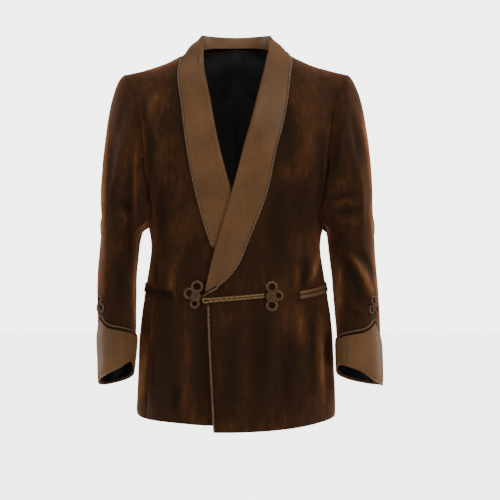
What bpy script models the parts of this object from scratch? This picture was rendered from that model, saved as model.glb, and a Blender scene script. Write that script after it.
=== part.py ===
"""A velvet smoking jacket with a satin shawl collar, gauntlet cuffs and frog closure.

Metres, +Z up, the front faces -Y, the wearer's left is +X. The origin is the
middle of the neck at shoulder height. Each cut piece of cloth is a closed wall
about 2 mm thick, and pieces stand 0.3 mm apart where they are sewn.
"""

import math

import bmesh
import bpy
import numpy as np
from mathutils import Vector
from mathutils.bvhtree import BVHTree

# Driving sizes, in metres.
CLOTH = 0.0020
SATIN = 0.0018
SEAM = 0.00018
ARMPIT = -0.240
VIEW_DISTANCE = 3.0
EYE_HEIGHT = -0.394
SQUARE = 2.4
FRONT_SEAM = math.radians(61.0)
BACK_SEAM = math.radians(119.0)
ARMHOLE_LOW = 0.14
CORD = 0.0022
THIN_CORD = 0.0015
NECK_HALF = 0.078
SLEEVE_END = -0.636

# Linear colours of the three materials.
VELVET = (0.030, 0.013, 0.007)
SATIN_COLOUR = (0.120, 0.070, 0.040)
CORD_COLOUR = (0.200, 0.120, 0.060)

# Rows and columns of points of each piece. The first rows of the collar go round the neck.
LOW_ROWS = 13
TOP_ROWS = 8
FRONT_COLUMNS = 8
BACK_COLUMNS = 6
SIDE_COLUMNS = 4
HEAD_ROWS = 8
ARM_ROWS = 10
COLLAR_ROWS = 34
NECK_ROWS = 13

# Body below the armpit: height, half width, depth in front, depth behind.
BODY = np.array([
    (-0.745, 0.1965, 0.122, 0.131),
    (-0.670, 0.1935, 0.123, 0.131),
    (-0.607, 0.1890, 0.123, 0.127),
    (-0.544, 0.1860, 0.121, 0.119),
    (-0.481, 0.1795, 0.118, 0.108),
    (-0.430, 0.1710, 0.115, 0.099),
    (-0.386, 0.1655, 0.114, 0.095),
    (-0.340, 0.1730, 0.117, 0.098),
    (-0.295, 0.1850, 0.121, 0.105),
    (-0.240, 0.1945, 0.125, 0.114),
])

# Body above the armpit: share of the height to the shoulder, half width.
YOKE = np.array([
    (0.0, 0.1945),
    (0.2, 0.1985),
    (0.5, 0.207),
    (0.8, 0.222),
    (1.0, 0.240),
])

# Hem: degrees from the middle of the front, height on the left half, height on the right half.
HEM = np.array([
    (0.0, -0.7395, -0.7270),
    (15.0, -0.7365, -0.7265),
    (30.0, -0.7325, -0.7235),
    (50.0, -0.7260, -0.7205),
    (70.0, -0.7200, -0.7175),
    (90.0, -0.7110, -0.7080),
    (120.0, -0.7090, -0.7080),
    (180.0, -0.7100, -0.7100),
])

# Inner edge of each front as seen from the eye: height, x.
LEFT_EDGE = np.array([
    (0.002, 0.078), (-0.010, 0.074), (-0.024, 0.068), (-0.039, 0.061), (-0.087, 0.047),
    (-0.134, 0.035), (-0.181, 0.021), (-0.228, 0.009), (-0.260, 0.001), (-0.283, -0.006),
    (-0.339, -0.022), (-0.394, -0.038), (-0.431, -0.047), (-0.477, -0.0555), (-0.500, -0.0555),
    (-0.607, -0.0520), (-0.686, -0.0480), (-0.735, -0.0455), (-0.760, -0.0440),
])
RIGHT_EDGE = np.array([
    (0.002, -0.078), (-0.010, -0.076), (-0.024, -0.072), (-0.039, -0.067), (-0.087, -0.057),
    (-0.134, -0.049), (-0.181, -0.039), (-0.228, -0.027), (-0.260, -0.020), (-0.283, -0.010),
    (-0.339, 0.008), (-0.394, 0.026), (-0.431, 0.036), (-0.477, 0.044), (-0.500, 0.046),
    (-0.607, 0.046), (-0.686, 0.046), (-0.735, 0.046), (-0.760, 0.046),
])

# Collar lying on the front, as seen: roll x, roll height, edge x, edge height, fold height.
LEFT_LAPEL = np.array([
    (0.0560, -0.0390, 0.1030, -0.0470, 1.0),
    (0.0435, -0.0870, 0.0970, -0.0990, 1.0),
    (0.0315, -0.1340, 0.0885, -0.1470, 1.0),
    (0.0180, -0.1810, 0.0745, -0.1960, 1.0),
    (0.0060, -0.2285, 0.0655, -0.2440, 1.0),
    (-0.0090, -0.2827, 0.0520, -0.2960, 1.0),
    (-0.0250, -0.3390, 0.0330, -0.3440, 1.0),
    (-0.0370, -0.3800, 0.0185, -0.3820, 1.0),
    (-0.0470, -0.4160, 0.0035, -0.4190, 1.0),
    (-0.0530, -0.4430, -0.0180, -0.4470, 1.0),
    (-0.0575, -0.4630, -0.0370, -0.4630, 1.0),
    (-0.0595, -0.4720, -0.0480, -0.4710, 1.0),
])
RIGHT_LAPEL = np.array([
    (-0.0635, -0.0390, -0.1110, -0.0510, 1.0),
    (-0.0535, -0.0870, -0.1055, -0.0990, 1.0),
    (-0.0450, -0.1340, -0.1000, -0.1470, 1.0),
    (-0.0355, -0.1810, -0.0935, -0.1960, 1.0),
    (-0.0240, -0.2285, -0.0845, -0.2440, 1.0),
    (-0.0110, -0.2760, -0.0745, -0.2900, 0.6),
    (0.0020, -0.3150, -0.0660, -0.3230, 0.0),
    (-0.0060, -0.3500, -0.0570, -0.3520, 0.0),
    (-0.0190, -0.3800, -0.0480, -0.3790, 0.0),
    (-0.0300, -0.3980, -0.0415, -0.3960, 0.0),
])

# Collar round the neck, wearer's left: roll, edge and foot of the stand, each x, y, z.
NECK_COLLAR = np.array([
    (0.0000, 0.0640, 0.0335, 0.0000, 0.0840, -0.0130, 0.0000, 0.0520, 0.0100),
    (0.0230, 0.0605, 0.0335, 0.0280, 0.0810, -0.0130, 0.0235, 0.0490, 0.0095),
    (0.0430, 0.0490, 0.0335, 0.0550, 0.0720, -0.0120, 0.0450, 0.0390, 0.0080),
    (0.0570, 0.0300, 0.0325, 0.0770, 0.0500, -0.0070, 0.0615, 0.0230, 0.0040),
    (0.0640, 0.0050, 0.0295, 0.0880, 0.0160, -0.0010, 0.0700, 0.0020, 0.0000),
    (0.0650, -0.0200, 0.0185, 0.0980, -0.0140, -0.0060, 0.0695, -0.0200, -0.0030),
    (0.0630, -0.0480, -0.0050, 0.1050, -0.0400, -0.0230, 0.0655, -0.0460, -0.0150),
])

# Sleeves: height, outer x, inner x, front y, back y, rise of the front of the ring.
LEFT_ARM = np.array([
    (-0.300, 0.2690, 0.1880, -0.078, 0.082, 0.00),
    (-0.335, 0.2700, 0.1820, -0.074, 0.078, 0.02),
    (-0.370, 0.2715, 0.1810, -0.073, 0.071, 0.05),
    (-0.410, 0.2735, 0.1840, -0.077, 0.062, 0.09),
    (-0.450, 0.2760, 0.1880, -0.083, 0.051, 0.14),
    (-0.490, 0.2785, 0.1910, -0.089, 0.040, 0.16),
    (-0.530, 0.2800, 0.1935, -0.095, 0.030, 0.19),
    (-0.570, 0.2805, 0.1960, -0.100, 0.020, 0.21),
    (-0.610, 0.2815, 0.1960, -0.104, 0.011, 0.22),
    (-0.660, 0.2830, 0.1950, -0.108, 0.002, 0.23),
])
RIGHT_ARM = np.array([
    (-0.300, 0.2640, 0.1880, -0.080, 0.086, 0.00),
    (-0.335, 0.2640, 0.1815, -0.076, 0.082, 0.02),
    (-0.370, 0.2660, 0.1870, -0.075, 0.075, 0.05),
    (-0.410, 0.2690, 0.1920, -0.079, 0.066, 0.09),
    (-0.450, 0.2715, 0.1945, -0.085, 0.055, 0.14),
    (-0.490, 0.2705, 0.1945, -0.091, 0.044, 0.16),
    (-0.530, 0.2690, 0.1945, -0.097, 0.034, 0.19),
    (-0.570, 0.2670, 0.1950, -0.102, 0.024, 0.21),
    (-0.610, 0.2650, 0.1970, -0.106, 0.015, 0.22),
    (-0.660, 0.2650, 0.1990, -0.110, 0.006, 0.23),
])

# Top edge of a cuff: degrees round from the outer side by the front, height.
CUFF_TOP = np.array([
    (0.0, -0.5800),
    (18.0, -0.5620),
    (36.0, -0.5440),
    (46.0, -0.5330),
    (58.0, -0.5440),
    (75.0, -0.5540),
    (100.0, -0.5610),
    (135.0, -0.5670),
    (180.0, -0.5760),
    (250.0, -0.5830),
    (320.0, -0.5840),
    (360.0, -0.5800),
])
CUFF_BOTTOM = -0.641
CUFF_PEAK = {1: math.radians(54.0), -1: math.radians(48.0)}
CUFF_SHIFT = {1: -0.0090, -1: -0.0010}
OUTER_DROP = 0.011

# The sleeve lies against the flank below the armpit: heights between which it leaves it.
HUG_FROM = {1: -0.338, -1: -0.325}
HUG_TO = {1: -0.375, -1: -0.362}
HUG_CLEAR = 0.0021

# Slant of the front of each sleeve's mouth: cosine from the outer side, rise on each half.
MOUTH_SLANT = np.array([
    (-1.00, 0.0110, 0.0180),
    (-0.70, 0.0095, 0.0150),
    (-0.35, 0.0065, 0.0080),
    (0.00, 0.0030, 0.0045),
    (0.45, -0.0070, 0.0018),
    (1.00, -0.0090, 0.0000),
])

# Largest folds: half, across (share of the quarter), height, length, width, depth.
BODY_FOLDS = np.array([
    (1.0, 0.62, -0.640, 0.120, 0.075, -0.0040),
    (1.0, 0.80, -0.620, 0.130, 0.070, 0.0040),
    (-1.0, 0.70, -0.640, 0.120, 0.080, -0.0040),
    (-1.0, 0.90, -0.630, 0.120, 0.080, 0.0035),
])

# Frogs of the closure: loop middle across and up from the knot, radius of the loop's line.
RIGHT_FROG = np.array([
    (0.0017, 0.0195, 0.0096),
    (-0.0135, 0.0060, 0.0088),
    (-0.0025, -0.0135, 0.0076),
])
LEFT_FROG = np.array([
    (0.0025, 0.0193, 0.0092),
    (0.0150, 0.0025, 0.0078),
    (0.0025, -0.0165, 0.0092),
])
CUFF_FROG = np.array([
    (0.0000, 0.0110, 0.0064),
    (-0.0095, -0.0050, 0.0064),
    (0.0095, -0.0050, 0.0064),
])
RIGHT_KNOT = (-0.0776, -0.4858)
LEFT_KNOT = (0.0676, -0.4866)
KNOT = 0.0093
CUFF_FROG_HEIGHT = -0.506

# Doubled cord of the closure as seen: x, height of its middle, half the spread of the two lines.
BRIDGE = np.array([
    (0.0555, -0.4844, 0.00240),
    (0.0250, -0.4870, 0.00240),
    (-0.0100, -0.4899, 0.00240),
    (-0.0400, -0.4924, 0.00240),
    (-0.0540, -0.4936, 0.00270),
    (-0.0600, -0.4938, 0.00400),
])

# Hip pocket as seen: x and height at its front, angle and height at its back.
POCKET_FRONT = (0.1250, -0.4827)
POCKET_BACK = (math.radians(93.0), -0.4640)
JET_HEIGHT = 0.0066
JET_GAP = 0.0009


def smooth(low, high, value):
    """Share of the way from low to high, eased at both ends."""
    share = min(max((value - low) / (high - low), 0.0), 1.0)
    return share * share * (3.0 - 2.0 * share)


def column(table, index, at):
    """A column of a table read at one value of its first column, with rounded joins."""
    keys = table[:, 0]
    values = table[:, index]
    if keys[0] > keys[-1]:
        keys = keys[::-1]
        values = values[::-1]
    at = float(np.clip(at, keys[0], keys[-1]))
    cell = int(np.clip(np.searchsorted(keys, at) - 1, 0, len(keys) - 2))
    slopes = np.gradient(values, keys)
    width = keys[cell + 1] - keys[cell]
    t = (at - keys[cell]) / width
    first = (2 * t ** 3 - 3 * t ** 2 + 1) * values[cell]
    second = (t ** 3 - 2 * t ** 2 + t) * width * slopes[cell]
    third = (3 * t ** 2 - 2 * t ** 3) * values[cell + 1]
    fourth = (t ** 3 - t ** 2) * width * slopes[cell + 1]
    return first + second + third + fourth


def resample(points, count):
    """Points along a rounded line through the given rows, at even steps of their order."""
    rows = np.asarray(points, dtype=float)
    keys = np.arange(len(rows), dtype=float)
    out = []
    for at in np.linspace(0.0, len(rows) - 1.0, count):
        table = np.column_stack([keys, rows])
        out.append([column(table, i + 1, at) for i in range(rows.shape[1])])
    return np.array(out)


def even_steps(points, count):
    """Points at even lengths along a line."""
    line = np.asarray(points, dtype=float)
    lengths = np.concatenate([[0.0], np.cumsum(np.linalg.norm(np.diff(line, axis=0), axis=1))])
    stops = np.linspace(0.0, lengths[-1], count)
    return np.column_stack([np.interp(stops, lengths, line[:, i]) for i in range(3)])


def shoulder_height(x):
    """Height of the shoulder line at a distance from the middle."""
    x = abs(x)
    hollow = 0.0
    if 0.09 < x < 0.217:
        hollow = 0.006 * math.sin(math.pi * (x - 0.09) / 0.127)
    return 0.028 - 0.352 * x - hollow


def hem_height(angle, half):
    """The hem dips towards the front, a little more on the left front."""
    across = max(0.0, math.degrees(angle) * half)
    return column(HEM, 1 if half > 0 else 2, across)


def body_sizes(share, z):
    """Half width, front depth and back depth of the body."""
    if share <= 0.0:
        return column(BODY, 1, z), column(BODY, 2, z), column(BODY, 3, z)
    t = min(share, 1.0)
    half = column(YOKE, 1, t)
    front = 0.125 * max(0.0, 1.0 - t ** 2.3) ** (1.0 / 1.8)
    back = 0.114 * (1.0 + 0.07 * math.sin(math.pi * t)) * max(0.0, 1.0 - t ** 3.0) ** 0.5
    return half, front, back


def body(angle, share, half_of=None):
    """Point of the body form: angle from the middle of the front, share of the height.

    The share is -1 at the hem, 0 at the armpit and 1 on the shoulder line. A front
    that reaches past the middle keeps the hem of its own half.
    """
    if half_of is None:
        half_of = math.copysign(1.0, angle)
    power = 2.0 / SQUARE
    side = math.copysign(1.0, math.sin(angle)) if angle != 0.0 else 1.0
    if share <= 0.0:
        z = ARMPIT + (ARMPIT - hem_height(angle, half_of)) * share
        half, front, back = body_sizes(share, z)
        x = half * side * abs(math.sin(angle)) ** power
    else:
        half, front, back = body_sizes(share, 0.0)
        x = half * side * abs(math.sin(angle)) ** power
        z = ARMPIT + (shoulder_height(x) - ARMPIT) * share
    depth = front if math.cos(angle) > 0.0 else back
    y = -math.copysign(1.0, math.cos(angle)) * depth * abs(math.cos(angle)) ** power
    return np.array((x, y, z))


def body_normal(angle, share, half_of=None):
    """Direction straight out of the body form."""
    if half_of is None:
        half_of = math.copysign(1.0, angle)
    small = 1e-3
    low = max(-1.0, share - small)
    high = min(1.0, share + small)
    across = body(angle + small, share, half_of) - body(angle - small, share, half_of)
    along = body(angle, high, half_of) - body(angle, low, half_of)
    out = np.cross(across, along)
    return out / np.linalg.norm(out)


def angle_for(x, share, z):
    """Angle on the front where the body form has this x."""
    half = body_sizes(share, z)[0]
    part = min(abs(x) / half, 1.0) ** (SQUARE / 2.0)
    return math.copysign(math.asin(part), x)


def true_place(x, z, y):
    """Where a point of depth y lies when it is seen at x and z from the eye."""
    scale = 1.0 + y / VIEW_DISTANCE
    return x * scale, EYE_HEIGHT + (z - EYE_HEIGHT) * scale


def share_for(x, z, angle, half_of):
    """Share of the height of the body form at a height, for one x."""
    if z > ARMPIT:
        return (z - ARMPIT) / (shoulder_height(x) - ARMPIT)
    return (z - ARMPIT) / (ARMPIT - hem_height(angle, half_of))


def front_place(half_of, seen_x, seen_z):
    """Angle and share on one front of a point seen from the eye."""
    x, z = seen_x, seen_z
    angle = 0.0
    share = 0.0
    for _ in range(6):
        share = min(share_for(x, z, angle, half_of), 0.999)
        angle = angle_for(x, share, z)
        y = body(angle, share, half_of)[1]
        x, z = true_place(seen_x, seen_z, y)
    return angle, share


def fold_push(angle, z):
    """How far the largest folds push the cloth out at a place on the body."""
    push = 0.0
    for half, across, height, length, width, depth in BODY_FOLDS:
        place = half * across * math.pi / 2.0
        gap = (angle - place) / width
        rise = (z - height) / length
        push += depth * math.exp(-gap * gap) * math.exp(-rise * rise)
    return push


def layer(angle, x, z, side):
    """How far a front lies off the form, so the left front clears the right one."""
    if side > 0:
        return 0.0026 * (1.0 - smooth(0.08, 0.15, x))
    return -0.0032 * smooth(-0.15, -0.07, x)


def finish(name, mesh_points, faces, colour, rough):
    """One closed mesh object with its own material."""
    mesh = bpy.data.meshes.new(name)
    mesh.from_pydata([tuple(p) for p in mesh_points], [], faces)
    shape = bpy.data.objects.new(name, mesh)
    JACKET.objects.link(shape)
    settle(shape, colour, rough)
    return shape


def settle(shape, colour, rough):
    """Welds a piece, turns its faces out and gives it its material."""
    work = bmesh.new()
    work.from_mesh(shape.data)
    bmesh.ops.remove_doubles(work, verts=work.verts, dist=0.00001)
    bmesh.ops.recalc_face_normals(work, faces=work.faces)
    if work.calc_volume(signed=True) < 0.0:
        bmesh.ops.reverse_faces(work, faces=work.faces)
    work.to_mesh(shape.data)
    work.free()
    surface = bpy.data.materials.new(shape.name)
    surface.use_nodes = True
    shader = surface.node_tree.nodes["Principled BSDF"]
    shader.inputs["Base Color"].default_value = (*colour, 1.0)
    shader.inputs["Roughness"].default_value = rough
    shader.inputs["Metallic"].default_value = 0.0
    shape.data.materials.clear()
    shape.data.materials.append(surface)


def wall_faces(rows, columns, closed):
    """Faces of a wall whose outer and inner skins are grids of the same size."""
    count = rows * columns
    faces = []
    span = columns if closed else columns - 1
    for r in range(rows - 1):
        for c in range(span):
            n = (c + 1) % columns
            a, b = r * columns + c, r * columns + n
            d, e = (r + 1) * columns + n, (r + 1) * columns + c
            faces.append((a, b, d, e))
            faces.append((a + count, e + count, d + count, b + count))
    for r, flip in ((0, False), (rows - 1, True)):
        for c in range(span):
            n = (c + 1) % columns
            a, b = r * columns + c, r * columns + n
            ring = (a, a + count, b + count, b)
            faces.append(ring[::-1] if flip else ring)
    if not closed:
        for c, flip in ((0, True), (columns - 1, False)):
            for r in range(rows - 1):
                a, b = r * columns + c, (r + 1) * columns + c
                ring = (a, a + count, b + count, b)
                faces.append(ring[::-1] if flip else ring)
    return faces


def pull_back(skin, amount, sides="lrbt"):
    """Moves the edges of a grid of points a little inwards along the cloth."""
    out = skin.copy()
    pairs = {"l": (np.s_[:, 0], np.s_[:, 1]), "r": (np.s_[:, -1], np.s_[:, -2]),
             "b": (np.s_[0, :], np.s_[1, :]), "t": (np.s_[-1, :], np.s_[-2, :])}
    for key in sides:
        edge, inner = pairs[key]
        step = out[inner] - out[edge]
        length = np.maximum(np.linalg.norm(step, axis=-1, keepdims=True), 1e-9)
        out[edge] = out[edge] + step / length * np.minimum(amount, length * 0.4)
    return out


def wall(name, outer, inner, colour, rough, closed=False):
    """A closed wall between an outer and an inner grid of points."""
    rows, columns = outer.shape[:2]
    points = np.vstack([outer.reshape(-1, 3), inner.reshape(-1, 3)])
    return finish(name, points, wall_faces(rows, columns, closed), colour, rough)


def body_rows():
    """Shares of the height for the rows of a front or back panel."""
    lower = [-1.0 + (1.0 + ARMHOLE_LOW) * i / LOW_ROWS for i in range(LOW_ROWS + 1)]
    upper = []
    for i in range(1, TOP_ROWS + 1):
        part = i / TOP_ROWS
        upper.append(ARMHOLE_LOW + (1.0 - ARMHOLE_LOW) * (1.0 - (1.0 - part) ** 1.8))
    return lower + upper


def front_edge_angle(share, table, side):
    """Angle of the inner edge of a front at one row."""
    angle = 0.0
    for _ in range(8):
        place = body(angle, share, side)
        seen_z = EYE_HEIGHT + (place[2] - EYE_HEIGHT) / (1.0 + place[1] / VIEW_DISTANCE)
        x = column(table, 1, seen_z) * (1.0 + place[1] / VIEW_DISTANCE)
        angle = angle_for(x, share, place[2])
    return angle


def build_front(side):
    """One front, from its inner edge to the seam of the side body and the armhole."""
    table = LEFT_EDGE if side > 0 else RIGHT_EDGE
    outer = []
    inner = []
    for share in body_rows():
        start = front_edge_angle(share, table, side)
        row_out = []
        row_in = []
        for c in range(FRONT_COLUMNS + 1):
            part = c / FRONT_COLUMNS
            angle = start + (side * FRONT_SEAM - start) * part
            place = body(angle, share, side)
            out = body_normal(angle, share, side)
            lift = layer(angle, place[0], place[2], side) + fold_push(angle, place[2])
            row_out.append(place + out * lift)
            row_in.append(place + out * (lift - CLOTH))
        outer.append(row_out)
        inner.append(row_in)
    outer = pull_back(np.array(outer), SEAM)
    inner = pull_back(np.array(inner), SEAM)
    name = "left_front" if side > 0 else "right_front"
    return wall(name, outer, inner, VELVET, 0.9), outer


def neck_share(x):
    """Share of the height where the back stops at the neck."""
    return min(1.0, 0.925 + 0.075 * (min(abs(x), NECK_HALF) / NECK_HALF) ** 2.4)


def build_back(side):
    """One back, from the centre seam to the side body and the armhole."""
    neck_angle = math.pi - math.asin((NECK_HALF / 0.240) ** (SQUARE / 2.0))
    outer = []
    inner = []
    for share in body_rows():
        row_out = []
        row_in = []
        for c in range(BACK_COLUMNS + 1):
            part = c / BACK_COLUMNS
            start = math.pi
            angle = start + (BACK_SEAM - start) * part
            level = share
            if share > ARMHOLE_LOW:
                x = body(angle, 1.0)[0]
                cut = neck_share(x)
                level = ARMHOLE_LOW + (share - ARMHOLE_LOW) * (cut - ARMHOLE_LOW) / (1.0 - ARMHOLE_LOW)
            angle = side * angle
            place = body(angle, level)
            out = body_normal(angle, level)
            push = fold_push(angle, place[2])
            row_out.append(place + out * push)
            row_in.append(place + out * (push - CLOTH))
        outer.append(row_out)
        inner.append(row_in)
    outer = pull_back(np.array(outer), SEAM)
    inner = pull_back(np.array(inner), SEAM)
    name = "left_back" if side > 0 else "right_back"
    return wall(name, outer, inner, VELVET, 0.9), outer


def armhole_share(part):
    """Share of the height of the armhole's foot across the side body."""
    return ARMHOLE_LOW * abs(2.0 * part - 1.0) ** 3.0


def build_side(side):
    """One side body, from the hem to the foot of the armhole."""
    outer = []
    inner = []
    for r in range(LOW_ROWS + 1):
        row_out = []
        row_in = []
        for c in range(SIDE_COLUMNS + 1):
            part = c / SIDE_COLUMNS
            angle = side * (FRONT_SEAM + (BACK_SEAM - FRONT_SEAM) * part)
            share = -1.0 + (1.0 + armhole_share(part)) * r / LOW_ROWS
            place = body(angle, share)
            out = body_normal(angle, share)
            push = fold_push(angle, place[2])
            row_out.append(place + out * push)
            row_in.append(place + out * (push - CLOTH))
        outer.append(row_out)
        inner.append(row_in)
    outer = pull_back(np.array(outer), SEAM)
    inner = pull_back(np.array(inner), SEAM)
    name = "left_side" if side > 0 else "right_side"
    return wall(name, outer, inner, VELVET, 0.9), outer


def armhole_loop(side):
    """Points of the armhole from the shoulder by the front and the armpit to the back."""
    rows = body_rows()[LOW_ROWS:]
    places = [(side * FRONT_SEAM, share) for share in rows[::-1]]
    for c in range(1, SIDE_COLUMNS):
        part = c / SIDE_COLUMNS
        angle = side * (FRONT_SEAM + (BACK_SEAM - FRONT_SEAM) * part)
        places.append((angle, armhole_share(part)))
    places += [(side * BACK_SEAM, share) for share in rows[:-1]]
    return places


def ring_point(table, side, angle, z):
    """Point of a sleeve ring: angle from the outer side by the front, height of the middle."""
    outer, inner = column(table, 1, z), column(table, 2, z)
    front, back = column(table, 3, z), column(table, 4, z)
    rise = column(table, 5, z)
    power = 2.0 / 2.2
    cos, sin = math.cos(angle), math.sin(angle)
    middle_x, half_x = (outer + inner) / 2.0, (outer - inner) / 2.0
    middle_y, half_y = (front + back) / 2.0, (back - front) / 2.0
    x = middle_x + half_x * math.copysign(abs(cos) ** power, cos)
    y = middle_y - half_y * math.copysign(abs(sin) ** power, sin)
    hug = smooth(HUG_TO[side], HUG_FROM[side], z) * smooth(-0.05, 0.6, -cos)
    if hug > 0.0:
        share = (z - ARMPIT) / (ARMPIT + 0.710)
        half, ahead, behind = body_sizes(share, z)
        depth = ahead if y < 0.0 else behind
        flank = half * (1.0 - min(1.0, abs(y) / depth) ** SQUARE) ** (1.0 / SQUARE)
        flank += HUG_CLEAR + 0.0045 * smooth(0.0, 0.05, y)
        x += (flank - x) * hug
    slant = column(MOUTH_SLANT, 1 if side > 0 else 2, cos) * smooth(-0.6, 0.6, sin)
    z += slant * smooth(0.580, 0.641, -z) - OUTER_DROP * cos * smooth(-0.47, -0.64, z)
    return np.array((side * x, y, z - (y - middle_y) * rise))


def sleeve_grid(side):
    """Rows of points of the whole sleeve, outer skin, and the angle of each column."""
    table = LEFT_ARM if side > 0 else RIGHT_ARM
    places = armhole_loop(side)
    loop = np.array([body(angle, share) for angle, share in places])
    outs = np.array([body_normal(angle, share) for angle, share in places])
    closed = np.vstack([loop, loop[:1]])
    steps = np.concatenate([[0.0], np.cumsum(np.linalg.norm(np.diff(closed, axis=0), axis=1))])
    low = len(body_rows()[LOW_ROWS:]) - 1 + SIDE_COLUMNS // 2
    angles = []
    for i in range(len(loop)):
        if i <= low:
            angles.append(math.pi * steps[i] / steps[low])
        else:
            angles.append(math.pi + math.pi * (steps[i] - steps[low]) / (steps[-1] - steps[low]))
    middle = loop.mean(axis=0)
    head = []
    for i, angle in enumerate(angles):
        cos, sin = math.cos(angle), math.sin(angle)
        away = loop[i] - middle
        away[0] = 0.0
        away /= np.linalg.norm(away)
        past = np.array((side * 1.0, 0.0, 0.0))
        shift = past * (1.0 + cos) / 2.0 + outs[i] * (1.0 - cos) / 2.0
        start = loop[i] + shift / np.linalg.norm(shift) * 0.0006
        stop = ring_point(table, side, angle, -0.300)
        top = np.array((side * 0.105, 0.0, -0.012)) * max(0.0, cos) ** 2
        ahead = np.array((side * 0.050, -0.050 * sin, -0.030)) * sin * sin
        under = np.array((side * 0.010, 0.0, -0.050)) * max(0.0, -cos) ** 2
        begin = top + ahead + under
        drop = abs(stop[2] - start[2])
        finish_slope = np.array((0.0, 0.0, -1.0)) * drop
        head.append((start, stop, begin, finish_slope))
    rows = []
    for r in range(HEAD_ROWS):
        t = (r / HEAD_ROWS) ** 1.25
        h00 = 2 * t ** 3 - 3 * t ** 2 + 1
        h10 = t ** 3 - 2 * t ** 2 + t
        h01 = 3 * t ** 2 - 2 * t ** 3
        h11 = t ** 3 - t ** 2
        rows.append([h00 * a + h10 * c + h01 * b + h11 * d for a, b, c, d in head])
    for z in np.linspace(-0.300, SLEEVE_END, ARM_ROWS + 1):
        rows.append([ring_point(table, side, angle, z) for angle in angles])
    return np.array(rows), np.array(angles)


def grid_normals(grid, side):
    """Outward directions on a closed sleeve grid."""
    around = np.roll(grid, -1, axis=1) - np.roll(grid, 1, axis=1)
    along = np.gradient(grid, axis=0)
    out = np.cross(around, along) * side
    return out / np.linalg.norm(out, axis=2, keepdims=True)


def build_sleeve(side):
    """Top sleeve and under sleeve of one arm."""
    grid, angles = sleeve_grid(side)
    outs = grid_normals(grid, side)
    centre = grid.mean(axis=1, keepdims=True)
    if np.sum((grid - centre)[8:] * outs[8:]) < 0.0:
        outs = -outs
    inner = grid - outs * CLOTH
    first = int(np.argmin(np.abs(angles - math.radians(125.0))))
    second = int(np.argmin(np.abs(angles - math.radians(235.0))))
    word = "left" if side > 0 else "right"
    upper = list(range(second, len(angles))) + list(range(0, first + 1))
    lower = list(range(first, second + 1))
    made = []
    for name, picks in (("top_sleeve", upper), ("under_sleeve", lower)):
        skin = pull_back(grid[:, picks], 1.3 * SEAM, "lr")
        back = pull_back(inner[:, picks], 1.3 * SEAM, "lr")
        made.append(wall(word + "_" + name, skin, back, VELVET, 0.9))
    return made, grid


def cuff_angles(side, count):
    """Angles of the columns of a cuff, with one on the peak."""
    return [(CUFF_PEAK[side] + 2.0 * math.pi * i / count) % (2.0 * math.pi) for i in range(count)]


def cuff_top(side, angle):
    """Height of the top edge of a cuff at an angle round the arm."""
    turned = math.degrees(angle - CUFF_PEAK[side]) + 46.0
    return column(CUFF_TOP, 1, turned % 360.0) + CUFF_SHIFT[side]


def arm_surface(side, angle, z, off):
    """Point off the smooth sleeve form, straight out of it."""
    table = LEFT_ARM if side > 0 else RIGHT_ARM
    small = 0.002
    here = ring_point(table, side, angle, z)
    around = ring_point(table, side, angle + small, z) - ring_point(table, side, angle - small, z)
    low = max(z - 0.004, -0.660)
    along = ring_point(table, side, angle, z + 0.004) - ring_point(table, side, angle, low)
    out = np.cross(along, around) * side
    out /= np.linalg.norm(out)
    middle = (ring_point(table, side, 0.0, z) + ring_point(table, side, math.pi, z)) / 2.0
    if np.dot(out, here - middle) < 0.0:
        out = -out
    return here + out * off


def build_cuff(side):
    """A turned-back cuff round the foot of the sleeve."""
    outer = []
    inner = []
    count = 5
    for r in range(count + 1):
        row_out = []
        row_in = []
        for angle in cuff_angles(side, 24):
            top = cuff_top(side, angle)
            z = CUFF_BOTTOM + (top - CUFF_BOTTOM) * r / count
            flare = 0.0011 + 0.0012 * (r / count)
            row_in.append(arm_surface(side, angle, z, flare))
            row_out.append(arm_surface(side, angle, z, flare + SATIN))
        outer.append(row_out)
        inner.append(row_in)
    name = "left_cuff" if side > 0 else "right_cuff"
    return wall(name, np.array(outer), np.array(inner), SATIN_COLOUR, 0.5, closed=True)


def tree_of(skins):
    """A search tree over some skins of points, with every face turned outwards."""
    points = []
    faces = []
    for skin in skins:
        rows, columns = skin.shape[:2]
        base = len(points)
        points += [Vector(p) for p in skin.reshape(-1, 3)]
        middle = skin[rows // 2, columns // 2]
        step = skin[rows // 2, columns // 2 - 1] - middle
        rise = skin[rows // 2 + 1, columns // 2] - middle
        turned = np.dot(np.cross(step, rise), middle * (1.0, 1.0, 0.0)) > 0.0
        for r in range(rows - 1):
            for c in range(columns - 1):
                a = base + r * columns + c
                face = (a, a + 1, a + columns + 1, a + columns)
                faces.append(face[::-1] if turned else face)
    return BVHTree.FromPolygons(points, faces)


def seat(tree, point, clear, exact=True):
    """Moves a point so that it stands a set distance off the cloth below it."""
    spot = Vector(point)
    for _ in range(4):
        near, out, _, gap = tree.find_nearest(spot)
        if near is None:
            break
        inside = (spot - near).dot(out) < 0.0
        if inside or gap < clear:
            spot = near + out * clear
        elif exact:
            spot = near + (spot - near).normalized() * clear
        else:
            break
    return np.array(spot)


def keep_off(tree, point, clear):
    """Moves a point away from a sheet until it is a set distance off."""
    spot = Vector(point)
    near, _, _, gap = tree.find_nearest(spot)
    if gap < clear:
        spot = near + (spot - near).normalized() * clear
    return np.array(spot)


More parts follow.
